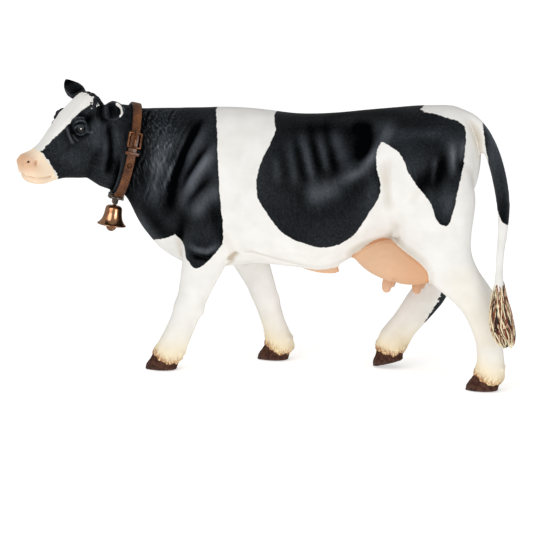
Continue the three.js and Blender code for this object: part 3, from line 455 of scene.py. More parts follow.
def body_forms(at, out):
    """How far the modelled forms stand out of the smooth body"""
    x, y, z = at.T
    side = np.column_stack([x, z])
    flank = ease(np.abs(out[:, 1]), *SIDEWAYS)
    trunk = ease(z, *FLANK_FROM) * flank
    near = flank * (y < MID_Y)
    rise = np.zeros(len(at))
    for each in FLANK_STROKES:
        rise += trunk * stroke(side, *each, FLANK_FADE)
    for each in BELLY_STROKES:
        rise += near * stroke(side, *each, BELLY_FADE)
    for each in HAUNCHES:
        rise += bump(at, *each)
    front = ease(out @ BRISKET_WAY, *BRISKET_FACING)
    rise += front * stroke(side, *BRISKET_STROKE, FLANK_FADE)
    # Short wrinkles across the neck: waves that wander, broken off by two slower ones
    neck = trunk * ease(x, *NECK_FRONT) * (1 - ease(x, *NECK_BACK)) * ease(z, *NECK_FROM)
    across = x - WRINKLE_LEAN * (z - 60) + 0.6 * np.sin(z * 0.35) + 0.25 * np.sin(z * 0.9 + x)
    broken = np.clip(np.sin(z * 0.55 + 1.9 * across) + np.sin(z * 0.31 - 1.1 * across), 0, 1)
    return rise + WRINKLE_RISE * neck * np.sin(across * WRINKLE_RATE) * broken


# The hoof's horn reaches higher at the toe than at the heel; tufts of hair hang over its edge.
# HOOF_REACH is how far along, aside and up a point can lie and still belong to the hoof.
HOOF_LENGTH = 9.4
HOOF_REACH = (14, 6, 20)
PASTERN_BACK = 1.2
HORN_AT_TOE = 6.3
HORN_SLOPE = 0.6
HORN_AT_HEEL = 2.2
CLEFT_DEPTH = 0.9
CLEFT_HALF = 0.45
TOE_RISE = 0.7
TOE_BACK = -4.6
TOE_HEIGHT = 1.8
HEEL_RISE = 1.2
HEEL_BACK = 4.2
HEEL_OVER = 2.0
# Knee caps, the bones behind the knees and a hollow below the near one: place, reach and rise
KNEES = (
    ((-26.2, -6.8, 18.6), 2.2, 0.45),
    ((-18.9, -6.8, 16.8), 1.3, 0.6),
    ((-8.6, 14.9, 18.6), 2.2, 0.35),
    ((-1.2, 14.9, 18.2), 1.4, 0.6),
    ((-24.4, -6.8, 14.6), 2.4, -0.35),
)


def hoof_space(at, foot):
    """Points about a hoof: if near, toward the heel, aside, up, round it, and above its horn"""
    lift = math.radians(foot["lift"])
    heel = np.array((math.cos(lift), 0, math.sin(lift)))
    up = np.array((-math.sin(lift), 0, math.cos(lift)))
    away = at - np.array((*foot["at"], math.sin(lift) * HOOF_LENGTH / 2))
    back, aside, height = away @ heel, away[:, 1], away @ up
    long, wide, tall = HOOF_REACH
    near = (np.abs(back) < long) & (np.abs(aside) < wide) & (height < tall)
    turn = np.arctan2(aside, back - PASTERN_BACK)
    edge = np.maximum(HORN_AT_TOE - HORN_SLOPE * (back + HOOF_LENGTH / 2), HORN_AT_HEEL)
    ragged = 0.14 * np.sin(8 * turn + 0.7) + 0.1 * np.sin(17 * turn)
    return near, back, aside, height, turn, height - edge - ragged


def foot_forms(at):
    """How far the hoof's cleft and rings, the hair over it and the knees stand out"""
    rise = np.zeros(len(at))
    for foot in FEET.values():
        near, back, aside, height, turn, over = hoof_space(at, foot)
        # Locks of hair: three waves round the foot, each bent as it runs down
        locks = 0.22 + 0.13 * np.sin(11 * turn + 1.5 * np.sin(1.7 * height))
        locks += 0.13 * np.sin(19 * turn - 2.1 * height) + 0.1 * np.sin(4.3 * height + 5 * turn)
        hair = ease(over, -0.2, 0.2) * (1 - ease(over, 0.9, 4.5)) * locks
        rings = (1 - ease(over, -0.5, 0.1)) * (0.05 * np.sin(6 * height) - 0.12)
        cleft = (1 - ease(back, -2.5, 0)) * (1 - ease(over, -0.3, 0.5))
        cleft *= -CLEFT_DEPTH * hill(aside, CLEFT_HALF)
        toe = TOE_RISE * hill(back - TOE_BACK, 1.6) * hill(height - TOE_HEIGHT, 1.6)
        heel = HEEL_RISE * hill(back - HEEL_BACK, 1.6) * hill(over - HEEL_OVER, 1.5)
        rise += np.where(near, hair + rings + cleft + toe + heel, 0)
    for centre, reach, height in KNEES:
        rise += bump(at, centre, (reach,) * 3, height)
    return rise


# The udder: grooves between its quarters, veins in its skin, and stepped collars on its teats.
# The grooves and veins end where the bare skin does.
UDDER_AT = np.array((34.37, 4.01, 34.4))
UDDER_REACH = np.array((12.6, 10.2, 7.6))
UDDER_EDGE = 1.06
UDDER_MIDDLE = 34.6
UDDER_TOP = 36
GROOVE_HALF = 0.9
LONG_GROOVE = 0.45
CROSS_GROOVE = 0.3
CROSS_GROOVE_FROM = (30, 36)
UDDER_VEINS = (
    [(28, 32.9), (30.1, 34.1), (32.2, 34.5), (34.7, 33.7)],
    [(30.8, 34.7), (31.4, 36.4), (33.4, 37.4)],
    [(33.2, 31.1), (34.3, 32.7), (36, 31.6), (35.4, 29.6), (33.6, 29.4)],
    [(37.6, 31.3), (39.9, 31.3), (42, 30.2)],
)
VEIN_HALF = 0.45
VEIN_RISE = -0.2
VEIN_FADE = 0.2
TEATS = ((32.46, 0.11), (32.46, 7.91), (40.76, 0.11), (40.76, 7.91))
# Each collar's edge as a radius, and the heights that it ends between
TEAT_COLLARS = (((2.0, 2.6), (26.5, 29)), ((1.6, 2.2), (24, 25.5)))
TEAT_RISE = 0.5


def udder_forms(at):
    """How far the udder's grooves, veins and teats stand out"""
    turn = np.array(quarters_place.to_3x3())
    on_quarters = (at - np.array(QUARTERS_AT) / MM) @ turn / np.array(QUARTERS_REACH)
    on_bag = (at - UDDER_AT) / UDDER_REACH
    within = np.minimum(np.linalg.norm(on_bag, axis=1), np.linalg.norm(on_quarters, axis=1))
    x, y, z = at.T
    side = np.column_stack([x, z])
    rise = -LONG_GROOVE * hill(y - MID_Y, GROOVE_HALF) * (z < UDDER_TOP)
    crossing = hill(x - UDDER_MIDDLE, GROOVE_HALF) * (1 - ease(z, *CROSS_GROOVE_FROM))
    rise -= CROSS_GROOVE * crossing
    for vein in UDDER_VEINS:
        rise += stroke(side, vein, VEIN_HALF, VEIN_RISE, VEIN_FADE)
    rise *= ease(UDDER_EDGE - within, 0, 0.05)
    for x_teat, y_teat in TEATS:
        beside = np.hypot(x - x_teat, y - y_teat)
        for edge, ending in TEAT_COLLARS:
            rise += TEAT_RISE * (1 - ease(beside, *edge)) * (1 - ease(z, *ending))
    return rise


FORM_ROUNDS = 2
FORM_SOFTNESS = 0.35
at = points(body)
out = normals(body)
rise = body_forms(at, out) + foot_forms(at) + udder_forms(at)
set_points(body, at + out * rise[:, None])
relax(body, FORM_ROUNDS, FORM_SOFTNESS)

# Coat paint
# Acrylic paint on the castings: a warm white with a thin brown wash and painted shade in its
# hollows, and satin black patches with grey painted highlights on the ridges and painted shade
# in the grooves. Edges are brushed by hand.
CURVE_STEPS = 6
FAR = 30.0
# Outlines of the black patches in side view, as x and height z. The saddle and the shoulder
# patch run over the back, where both sides share their points.
SADDLE_FRONT = [(-1.2, 84), (-1.2, 79), (-1.2, 75), (-1.2, 72.3)]
SADDLE_BACK = [(49.2, 73.1), (44.8, 74.2), (39.6, 75.1), (39.9, 76.2), (40.2, 79), (40.2, 84)]
SADDLE_LEFT = [
    *SADDLE_FRONT,
    (0.4, 68.4), (-0.6, 64.6), (-2.2, 60.7), (-3.0, 56.2), (-2.6, 51.4), (-0.3, 47.8),
    (3.0, 43.4), (6.5, 40.7), (11.1, 38.9), (15.6, 38.1), (20.0, 39.1), (24.5, 42.5),
    (28.4, 48.5), (30.8, 53.1), (31.0, 56.6), (30.0, 60.3), (29.7, 64.0), (30.6, 67.3),
    (33.0, 66.3), (35.7, 64.6), (37.2, 62.3), (38.6, 59.4), (40.5, 56.4), (43.4, 53.1),
    (45.0, 50.7), (46.0, 48.0), (47.2, 45.8), (48.4, 45.4), (49.7, 45.9), (50.3, 48.0),
    (50.9, 50.0), (51.2, 52.2), (52.2, 58.8), (52.6, 64.5), (52.4, 69.6), (51.2, 72.0),
    *SADDLE_BACK,
]
SADDLE_RIGHT = [
    *SADDLE_FRONT,
    (1.5, 68), (4.0, 63), (3.2, 57), (0.5, 51), (-0.5, 45), (3, 40), (9, 37.5), (15.5, 39),
    (20, 43.5), (22, 50), (21.5, 57), (24.5, 62.5), (29.5, 64.5), (34, 62), (36.5, 56),
    (39, 50.5), (43, 47), (46.5, 49.5), (48.2, 56), (50.5, 63), (51.4, 70),
    *SADDLE_BACK,
]
SHOULDER_TOP = [(-18.2, 84), (-18.2, 79), (-18.2, 75.6), (-18.0, 73.0)]
SHOULDER_FRONT = [(-40, 35), (-60, 35), (-60, 84)]
SHOULDER_LEFT = [
    *SHOULDER_TOP,
    (-16.6, 69.8), (-14.8, 61.8), (-13.3, 48.1), (-12.7, 42.8), (-13.0, 37.2), (-16.6, 32.4),
    (-20.2, 30.0), (-23.2, 32.6), (-24.2, 36.0), (-26.6, 37.7), (-27.3, 38.5), (-28, 38.0),
    (-31, 36.8),
    *SHOULDER_FRONT,
]
SHOULDER_RIGHT = [
    *SHOULDER_TOP,
    (-15, 66), (-12.5, 58), (-13.5, 50), (-16.5, 44), (-19, 38.5), (-23, 35.5), (-28, 36.5),
    (-34, 36.5),
    *SHOULDER_FRONT,
]
TAIL_PATCH = [
    (56.4, 73), (56.6, 70.6), (57.5, 66.1), (58.9, 59.8), (60.8, 52.8), (62.1, 48.8),
    (63.9, 46.4), (66, 45.6), (70, 46), (70, 75), (59, 74.5),
]
# The far hind leg's patch: the line that it follows down the leg, and its half width at each end
HOCK_PATCH = {"path": [(47.2, 14, 24.5), (40.6, 14, 14.5)], "from": 3.6, "to": 1.4}
# Between the thighs the skin is white: half the gap, and where it begins and ends
THIGH_GAP = 5.0
THIGH_FRONT = 40
THIGH_TOP = 56


def rounded(outline):
    """A closed outline with smooth curves between its corners"""
    p1 = np.array(outline, float)
    p0, p2, p3 = np.roll(p1, 1, 0), np.roll(p1, -1, 0), np.roll(p1, -2, 0)
    rows = []
    for t in np.arange(CURVE_STEPS) / CURVE_STEPS:
        rows.append(
            p1
            + 0.5 * t * (p2 - p0)
            + t**2 * (p0 - 2.5 * p1 + 2 * p2 - 0.5 * p3)
            + t**3 * (1.5 * p1 - 1.5 * p2 + 0.5 * p3 - 0.5 * p0)
        )
    return np.stack(rows, 1).reshape(-1, 2)


def depth_in(at, outline):
    """How deep each point lies inside a rounded outline, below 0 outside it"""
    edge = rounded(outline)
    inside = np.zeros(len(at), bool)
    for a, b in zip(edge, np.roll(edge, -1, 0)):
        spans = (a[1] > at[:, 1]) != (b[1] > at[:, 1])
        slope = (b[0] - a[0]) / (b[1] - a[1]) if b[1] != a[1] else 0
        inside ^= spans & (at[:, 0] < a[0] + slope * (at[:, 1] - a[1]))
    gap = nearest(at, np.vstack([edge, edge[:1]]))[0]
    return np.where(inside, gap, -gap)


def body_black(at, node):
    """Depth in the black patches of a piece of the body"""
    x, y, z = at.T
    side = np.column_stack([x, z])
    if node == "tail":
        return depth_in(side, TAIL_PATCH)
    left = np.maximum(depth_in(side, SADDLE_LEFT), depth_in(side, SHOULDER_LEFT))
    right = np.maximum(depth_in(side, SADDLE_RIGHT), depth_in(side, SHOULDER_RIGHT))
    between = (np.abs(y - MID_Y) < THIGH_GAP) & (x > THIGH_FRONT) & (z < THIGH_TOP)
    black = np.where(between, -FAR, np.where(y < MID_Y, left, right))
    if node == "hind_leg_right":
        gap, way = nearest(at, HOCK_PATCH["path"])
        black = np.maximum(black, HOCK_PATCH["from"] * (1 - way) + HOCK_PATCH["to"] * way - gap)
    return black


CAVITY_SOFTNESS = 0.5


def cavities(mesh, rounds):
    """How far each point stands out of the form round it, below 0 in grooves"""
    smooth = averaged(mesh, points(mesh), rounds, CAVITY_SOFTNESS)
    height = ((points(mesh) - smooth) * normals(mesh)).sum(1)
    return height - averaged(mesh, height[:, None], 2 * rounds, CAVITY_SOFTNESS)[:, 0]


# Painted highlights, lift above 0, and painted shade, below 0, in side view: path, width, lift
PAINTED_LIGHT_STROKES = (
    ([(9, 52), (14.5, 52.6), (19, 54.4), (24, 58)], 2.6, 0.2),
    ([(-29, 68), (-31, 60), (-34, 50)], 4.5, 0.1),
    ([(-14.6, 66), (-18.6, 58), (-24.6, 46)], 2.2, 0.12),
    ([(-14, 56), (-16.4, 50.4), (-22, 42.4)], 2.4, 0.2),
    ([(-16.7, 62), (-15.2, 56), (-14.5, 50), (-14.2, 45)], 1.6, 0.2),
    ([(20.5, 70.2), (28.6, 70.4)], 1.6, -0.3),
    ([(0.4, 68), (6.3, 69.4), (16, 70.4), (27.7, 71)], 1.7, -0.2),
    ([(-0.4, 74.6), (18, 74.4), (38, 75.4)], 1.8, -0.16),
    ([(32, 69.4), (36, 68.6), (40, 64)], 2.8, 0.14),
    ([(40, 70.4), (46, 69.6), (50.4, 66), (50.6, 58)], 2.6, 0.12),
    ([(49.6, 56), (49.3, 50), (48.4, 45)], 2.2, 0.16),
    ([(57.2, 72), (60.6, 62), (63.4, 52), (65, 45)], 2.4, 0.24),
    ([(-50.4, 71), (-48, 66.6), (-47.8, 60.4)], 2.6, 0.22),
    ([(-60, 63), (-55, 60.6), (-49, 58)], 3.4, 0.14),
    ([(-43.8, 61), (-44.3, 57.6), (-45, 53)], 1.6, -0.2),
)


def painted_light_at(at):
    """How much painted highlight, above 0, or painted shade, below 0, lies at each point"""
    side = np.column_stack([at[:, 0], at[:, 2]])
    return sum(stroke(side, *each, FLANK_FADE) for each in PAINTED_LIGHT_STROKES)


def keep(mesh, name, values):
    """Stores one number for each point of a mesh, for its paint to read"""
    mesh.attributes.new(name, "FLOAT", "POINT").data.foreach_set("value", values)


def speckle(tree, size, detail, low=0.0, high=1.0, start=0.0, end=1.0):
    """Noise with grains of a size in millimetres; what runs from low to high becomes start to end"""
    where = add(tree, "TexCoord", output="Object")
    fine = {"Vector": where, "Scale": 1 / (size * MM), "Detail": detail}
    return add(tree, "MapRange", (add(tree, "TexNoise", fine), low, high, start, end))


def streaks(tree, width, length, lean):
    """Noise drawn out into hairs of a width and length in millimetres that lean back"""
    where = add(tree, "TexCoord", output="Object")
    drawn = {
        "Vector": where,
        "Rotation": (0, math.radians(lean), 0),
        "Scale": (width * MM, width * MM, length * MM),
    }
    hairs = add(tree, "Mapping", drawn, vector_type="TEXTURE")
    return add(tree, "TexNoise", {"Vector": hairs, "Scale": 1.0, "Detail": 2.0})


# The Mix node's colour goes through its output 2; its sockets 0, 6 and 7 take the share and
# the two colours.
BLEND = {"output": 2, "data_type": "RGBA"}
# What the castings store for their paint, point by point
STORED = (
    "relief_and_painted_light", "crease", "black", "ragged", "streaky", "tuft", "ochre",
    "rust", "blush_and_shade", "skin", "horn", "eye", "glint",
)
# The painter's grains, in millimetres. Brush hairs and grains of paint are finer than this on
# the real figure; they are drawn as coarse as they have to be to show.
HAIR = {"width": 0.45, "length": 4.5, "lean": -16}
CURL = {"width": 0.35, "length": 1.3, "lean": 12}
WOBBLE_GRAIN = 2.6
FRAY_GRAIN = 0.9
MOTTLE_GRAIN = 5.0
SCUMBLE_GRAIN = 0.6
PAINT_GRAIN = 0.5
PAINT_RELIEF = 0.1

# Satin acrylic brushed on PVC: the white is milky with a brown wash and painted shade in its
# hollows, the black drinks light but for grey painted highlights on its ridges and painted shade
# in its grooves, edges are frayed, and eyes and nostrils are wet.
coat, tree = material("painted PVC coat")
stored = {name: add(tree, "Attribute", output="Fac", attribute_name=name) for name in STORED}
hairs = streaks(tree, **HAIR)
wobble = speckle(tree, WOBBLE_GRAIN, 2.0, 0.3, 0.7, -0.12, 0.12)
frayed = speckle(tree, FRAY_GRAIN, 2.0, 0.3, 0.7, -0.35, 0.35)
ragged = add(tree, "Math", (frayed, stored["ragged"]), operation="MULTIPLY")
uneven = add(tree, "Math", (wobble, ragged), operation="ADD")

# Each paint covers what lies inside its line; half is how far its edge is blurred
cover = {}
for name, brushed, half in (("black", uneven, 0.08), ("skin", ragged, 0.12), ("horn", ragged, 0.1)):
    depth = add(tree, "Math", (stored[name], brushed), operation="ADD")
    cover[name] = add(tree, "MapRange", (depth, -half, half))
for name in ("eye", "glint"):
    cover[name] = add(tree, "MapRange", (stored[name], 0, 0.1))

# White, mottled, with a brown wash and painted shade in its hollows
mottle = speckle(tree, MOTTLE_GRAIN, 2.0, 0.35, 0.7)
wash_and_shade = add(tree, "MapRange", (stored["relief_and_painted_light"], -0.1, -0.7, 0, 0.8))
white = add(tree, "Mix", {0: mottle, 6: linear("#e9e7e3"), 7: linear("#e1dfda")}, **BLEND)
white = add(tree, "Mix", {0: wash_and_shade, 6: white, 7: linear("#b3a48c")}, **BLEND)

# Black with painted light: grey painted highlights on its ridges and edges, painted shade in
# its grooves, and grey along the hairs of the brush
dragged = add(tree, "MapRange", (hairs, 0.48, 0.75, -0.05, 0.45))
painted_light_level = stored["relief_and_painted_light"]
for part in (
    add(tree, "MapRange", (stored["crease"], -0.1, 0.3, -0.1, 0.4)),
    add(tree, "Math", (dragged, stored["streaky"]), operation="MULTIPLY"),
    speckle(tree, SCUMBLE_GRAIN, 3.0, 0.35, 0.65, -0.045, 0.045),
):
    painted_light_level = add(tree, "Math", (painted_light_level, part), operation="ADD")
lit = add(tree, "MapRange", (painted_light_level, -0.3, 0.6))
lit = add(tree, "Math", (lit, 2.0), operation="POWER")
dark = add(tree, "Mix", {0: lit, 6: linear("#030405"), 7: linear("#4d535a")}, **BLEND)

# Cream hair over the hooves with brown between its locks, and flecks of rust
parting = add(tree, "MapRange", (streaks(tree, **CURL), 0.58, 0.42))
gaps = add(tree, "Math", (parting, stored["tuft"]), operation="MULTIPLY")
tuft = add(tree, "Mix", {0: gaps, 6: linear("#f1dca6"), 7: linear("#9c5f2c")}, **BLEND)
flecks = add(tree, "MapRange", (frayed, -0.2, 0.05))
rusty = add(tree, "Math", (stored["rust"], flecks), operation="MULTIPLY")

# Bare skin from cream to a warm pink, brown wash and painted shade in its creases; and dark horn
crease_wash_and_shade = add(tree, "MapRange", (stored["relief_and_painted_light"], -0.12, -0.7, 0, 0.85))
flesh = {0: stored["blush_and_shade"], 6: linear("#f4e0c6"), 7: linear("#d3a37e")}
flesh = {0: crease_wash_and_shade, 6: add(tree, "Mix", flesh, **BLEND), 7: linear("#a8673c")}
flesh = add(tree, "Mix", flesh, **BLEND)
grown = add(tree, "MapRange", (frayed, -0.2, 0.2))
horn = add(tree, "Mix", {0: grown, 6: linear("#3c2721"), 7: linear("#553a30")}, **BLEND)

paint = white
for share, colour in (
    (cover["black"], dark),
    (stored["ochre"], tuft),
    (rusty, linear("#93502a")),
    (cover["skin"], flesh),
    (cover["horn"], horn),
    (cover["eye"], linear("#030303")),
    (cover["glint"], linear("#f0efec")),
):
    paint = add(tree, "Mix", {0: share, 6: paint, 7: colour}, **BLEND)

# The black is a little smoother than the white, and the eyes are lacquered
satin = add(tree, "MapRange", (cover["black"], 0, 1, 0.5, 0.42))
lacquer = add(tree, "MapRange", (cover["eye"], 0, 1, 1, 0.2))
gloss = add(tree, "Math", (satin, lacquer), operation="MULTIPLY")
sheen = add(tree, "Math", (lit, 0.5), operation="MULTIPLY")
sheen = add(tree, "Math", (sheen, cover["eye"]), operation="MAXIMUM")
ridges = add(tree, "Math", (hairs, stored["streaky"]), operation="MULTIPLY")
ridges = add(tree, "Math", (ridges, speckle(tree, PAINT_GRAIN, 4.0)), operation="ADD")
furrows = add(tree, "Math", (gaps, 2.0), operation="MULTIPLY")
height = add(tree, "Math", (ridges, furrows), operation="SUBTRACT")
felt = {"Height": height, "Strength": 0.2, "Distance": PAINT_RELIEF * MM}
acrylic = add(
    tree,
    "BsdfPrincipled",
    {
        "Base Color": paint,
        "Roughness": gloss,
        "IOR": 1.5,
        "Specular IOR Level": sheen,
        "Normal": add(tree, "Bump", felt),
    },
)
add(tree, "OutputMaterial", {"Surface": acrylic})

CASTING_CREASE = math.radians(50)


def finished(mesh, name, node, skin, crease, body="figure"):
    """Makes a mesh the visible piece of a CAD node, on a body, in one material"""
    mesh.shade_smooth()
    mesh.set_sharp_from_angle(angle=crease)
    mesh.materials.clear()
    mesh.materials.append(skin)
    piece = put(mesh, name)
    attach(piece, body)
    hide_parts(node)


# Where the body's other paints lie. The udder's bare skin runs up the belly in a leaf shape and
# darkens toward its rear as painted shade, the near hock is tinted, and the tail's end is painted
# dark as far as the switch hangs over it, as painted shade between the strands.
UDDER_LEAF = [
    (22.2, 34.4), (25.6, 37.5), (28.7, 39.9), (31.1, 40.6), (33.8, 39.9), (36.8, 37.8),
    (39.8, 35.4), (42, 33), (41, 30), (33, 28), (25, 31),
]
HOCK_TINT = {"path": [(53, -7, 30), (58, -7, 22), (60.5, -7, 14)], "reach": 3.6, "share": 0.4}
SWITCH_TOP = 29.0
TOE_PART = (-1.5, 3.5)
OCHRE_SHARE = 0.95
OCHRE_REACH = 4.6
OCHRE_FALL = 1.3
TUFT_REACH = 1.9
RUST_REACH = 1.4
RUST_AT_HEEL = 0.15
RUST_AT_TOE = 0.9
NAVEL_BARE = 0.5
NAVEL_DEPTH = 1.5
BLUSH_FRONT = 0.8
REAR_SHADE_PART = (30, 44)
SMOOTH_EDGE = 0.3
ROUGH_BELOW = (-30, -26)
STREAKS_ON_BODY = 0.12
STREAKS_ON_NECK = 0.9
NECK_PART = (24, 30)
NECK_ABOVE = (48, 54)


def paint_body(mesh, node):
    """Stores what the coat's paint needs on a piece of the body"""
    at = points(mesh)
    x, y, z = at.T
    keep(mesh, "black", body_black(at, node))
    over = np.full(len(at), FAR)
    toe = np.zeros(len(at))
    for foot in FEET.values():
        near, back, aside, height, turn, above = hoof_space(at, foot)
        over = np.where(near, above, over)
        toe = np.where(near, 1 - ease(back, *TOE_PART), toe)
    # Painted shade: the tail's end under the switch takes the horn's dark brown, so the gaps between
    # strands read dark
    shaded_tail_end = SWITCH_TOP - z if node == "tail" else np.full(len(at), -FAR)
    keep(mesh, "horn", np.maximum(-over, shaded_tail_end))
    tint = HOCK_TINT["share"] * hill(nearest(at, HOCK_TINT["path"])[0], HOCK_TINT["reach"])
    ochre = OCHRE_SHARE * np.exp(-((np.clip(over, 0, FAR) / OCHRE_REACH) ** OCHRE_FALL))
    keep(mesh, "ochre", np.maximum(ochre, tint))
    keep(mesh, "tuft", hill(over, TUFT_REACH))
    rust = RUST_AT_HEEL + (RUST_AT_TOE - RUST_AT_HEEL) * toe
    keep(mesh, "rust", hill(over, RUST_REACH) * rust)
    on_navel = (at - NAVEL_AT) @ np.array(navel_place.to_3x3()) / (NAVEL_REACH + NAVEL_BARE)
    navel = NAVEL_DEPTH - NAVEL_DEPTH * np.linalg.norm(on_navel, axis=1)
    leaf = np.where(y < MID_Y, depth_in(np.column_stack([x, z]), UDDER_LEAF), -FAR)
    keep(mesh, "skin", np.full(len(at), 1.0) if node == "udder" else np.maximum(navel, leaf))
    # Painted shade: the bare skin on the body darkens toward the rear
    keep(mesh, "blush_and_shade", BLUSH_FRONT + (1 - BLUSH_FRONT) * ease(x, *REAR_SHADE_PART))
    keep(mesh, "ragged", SMOOTH_EDGE + (1 - SMOOTH_EDGE) * ease(-z, *ROUGH_BELOW))
    neck = ease(-x, *NECK_PART) * ease(z, *NECK_ABOVE)
    keep(mesh, "streaky", STREAKS_ON_BODY + (STREAKS_ON_NECK - STREAKS_ON_BODY) * neck)
    for name in ("eye", "glint"):
        keep(mesh, name, np.full(len(at), -1.0))


CAVITY_ROUNDS = 200
CREASE_ROUNDS = 12
SEAM_REACH = 1.2
CUTTER_VOXEL = 0.8
QUARTERS_EDGE = 0.3
# The stored relief carries the painted light strokes too: painted highlights and painted shade
keep(body, "relief_and_painted_light", cavities(body, CAVITY_ROUNDS) + painted_light_at(points(body)))
keep(body, "crease", cavities(body, CREASE_ROUNDS))
rest = body
for node in ("udder", "tail", *FEET):
    clay = grown_copy([node], SEAM_REACH)
    if node == "udder":
        near_quarters(clay, QUARTERS_EDGE)
    casting, rest = parted(rest, clay, CUTTER_VOXEL)
    paint_body(casting, node)
    finished(casting, node + "_casting", node, coat, CASTING_CREASE)
paint_body(rest, "torso")
finished(rest, "trunk_casting", "torso", coat, CASTING_CREASE)

# Head
# A PVC casting with its eyes, nostrils and wrinkles modelled in, glued to the neck under the
# collar. It is kneaded finer than the body; both ears are castings of their own, let into it.
HEAD_VOXEL = 0.18
HEAD_ROUNDS = 26
HEAD_SOFTNESS = 0.5
HEAD_FORM_SOFTNESS = 0.3
HEAD_CAVITY_ROUNDS = 220
HEAD_NODES = ("head", "ear_left", "ear_right")
HEAD_AT = np.array((-49.1349, -5.3873, 64.0))
FACE = np.array((-0.61974, -0.52003, -0.58779))
LEFT = np.array((0.69920, -0.70601, -0.11259))
BROW = np.array((-0.35643, -0.48076, 0.80114))
NECK_KEPT = 7.0
EYE_AT = (5.4, 7.0, 9.9)
EYE_RADIUS = 1.15
EYE_RISE = 0.4
LID_RADIUS = 1.2
LID_HALF = 0.2
LID_DEPTH = 0.3
NOSTRIL = ((21.5, 2.3, 10.2), (21.6, 2.7, 9.9))
# Lids and the wrinkles round the eye, in the head's frame: path, width and rise
EYE_FOLDS = (
    ([(6.9, 6, 10.4), (6, 6.3, 11.1), (5.2, 6.8, 11.2), (4.6, 7.1, 10.8), (4.1, 7.3, 9.5)], 0.4, 0.45),
    ([(6.9, 6, 9.9), (6.3, 6, 8.6), (5.7, 6.3, 8.2), (4.8, 6.9, 8.5)], 0.35, 0.3),
    ([(6.6, 5.6, 11.3), (5.4, 6.3, 11.7), (4.1, 6.8, 11.3), (3.3, 6.9, 9.8)], 0.3, -0.3),
    ([(5.8, 5.5, 11.9), (4.6, 6.1, 12), (3.5, 6.5, 11.3), (2.6, 6.5, 9.9)], 0.35, 0.35),
    ([(5.8, 3.9, 12.1), (4.3, 4.8, 12.4), (2.9, 5.5, 11.8), (1.9, 5.4, 10.4)], 0.4, 0.35),
    ([(7.5, 4.9, 9.8), (7.6, 5.3, 8.2), (7.3, 5.4, 6.5)], 0.35, 0.35),
    ([(4.4, 6.9, 8.4), (3.3, 5.9, 7), (2.2, 5.9, 6.3)], 0.4, 0.35),
    ([(6.9, 3.3, 12.1), (7.8, 4.1, 11.2), (8.5, 4.7, 9.8), (8.8, 5, 8.2), (8.8, 5.1, 6.2)], 0.5, 0.5),
)
FOLD_FADE = 0.25
BLUNT = 0.01
# The groove behind the jaw, the nostrils with their wings, the mouth and the groove of the lip:
# path, width, rise, and how much of its length fades out
FACE_STROKES = (
    (
        [(-3.4, 4.4, 5.4), (-2.3, 5.1, 3.6), (0.5, 6.4, -0.6), (2.3, 6.5, -3.2), (6.1, 4.8, -7.9)],
        1.1,
        -1.0,
        FOLD_FADE,
    ),
    (NOSTRIL, 1.3, 0.45, BLUNT),
    (NOSTRIL, 0.55, -1.0, BLUNT),
    ([(19.5, 3.1, 9.8), (20.2, 3.7, 9.1), (21.0, 4.0, 8.4)], 0.5, -0.6, 0.3),
    (
        [(24.6, 0, 7.2), (23.8, 2.8, 6.3), (21.9, 4.0, 4.6), (20.0, 3.9, 3.5), (18.3, 3.5, 2.4)],
        0.5,
        -0.55,
        BLUNT,
    ),
    ([(24.4, 0, 9.3), (24.2, 0, 6.8)], 0.35, -0.25, BLUNT),
)
# The temple, the cheek plate, the side of the nose and the top of the muzzle: place, reach, rise
FACE_SWELLS = (
    ((0.4, 6.0, 9.8), (2.4, 2.4, 1.6), -0.8),
    ((2.6, 6.3, 1.6), (3.0, 3.0, 4.6), 0.6),
    ((10.5, 4.6, 6.0), (3.0, 2.0, 2.2), -0.35),
    ((21.8, 1.2, 10.8), (2.2, 2.2, 1.8), 0.75),
)
POLL_HAIR = 0.16


def on_head(at):
    """Points in the head's own frame: along the face, to its left and out of its brow"""
    return (at - HEAD_AT) @ np.column_stack([FACE, LEFT, BROW])


def head_forms(at):
    """How far the modelled features stand out of the smooth head, the same on both sides"""
    near = on_head(at)
    near[:, 1] = np.abs(near[:, 1])
    u, v, w = near.T
    apart = np.linalg.norm(near - np.array(EYE_AT), axis=1)
    rise = EYE_RISE * np.sqrt(np.clip(1 - (apart / EYE_RADIUS) ** 2, 0, 1))
    rise -= LID_DEPTH * hill(apart - LID_RADIUS, LID_HALF)
    for each in EYE_FOLDS:
        rise += stroke(near, *each, FOLD_FADE)
    for each in FACE_STROKES:
        rise += stroke(near, *each)
    for each in FACE_SWELLS:
        rise += bump(near, *each)
    # Ragged hair on the poll: waves across it that wander, broken along their length
    poll = (1 - ease(u, -3.2, -0.5)) * ease(w, 9.5, 11.5) * (1 - ease(v, 3.5, 5))
    rise += POLL_HAIR * poll * np.sin(v * 5.2 + 1.4 * np.sin(u * 1.9)) * np.cos(u * 2.3 + v)
    return rise


EARS = {
    "ear_left": {"root": (-2.8, 3.0, 8.0), "tip": (-6.4, 13.2, 9.6), "broad": (-0.75, 0, 1)},
    "ear_right": {"root": (-2.8, -3.0, 9.4), "tip": (-4.1, -12.0, 15.0), "broad": (1, 0, 0.3)},
}
EAR_REACH = 0.55
EAR_VOXEL = 0.3
EAR_THICK = 2
EAR_WIDE = 4
CUP_HALF = 2.3
CUP_DEPTH = 0.9
# Shares of the ear's length that its cup opens and closes between
CUP_OPENS = (0.34, 0.5)
CUP_CLOSES = (0.86, 1.0)


def on_ear(here, ear):
    """Points of the head's frame along an ear, across it and out of it; its open side; its length"""
    root, tip, broad = (np.array(ear[key], float) for key in ("root", "tip", "broad"))
    length = np.linalg.norm(tip - root)
    along = (tip - root) / length
    thick = np.cross(along, broad)
    thick /= np.linalg.norm(thick)
    axes = np.column_stack([along, np.cross(thick, along), thick])
    return (here - root) @ axes, thick, length


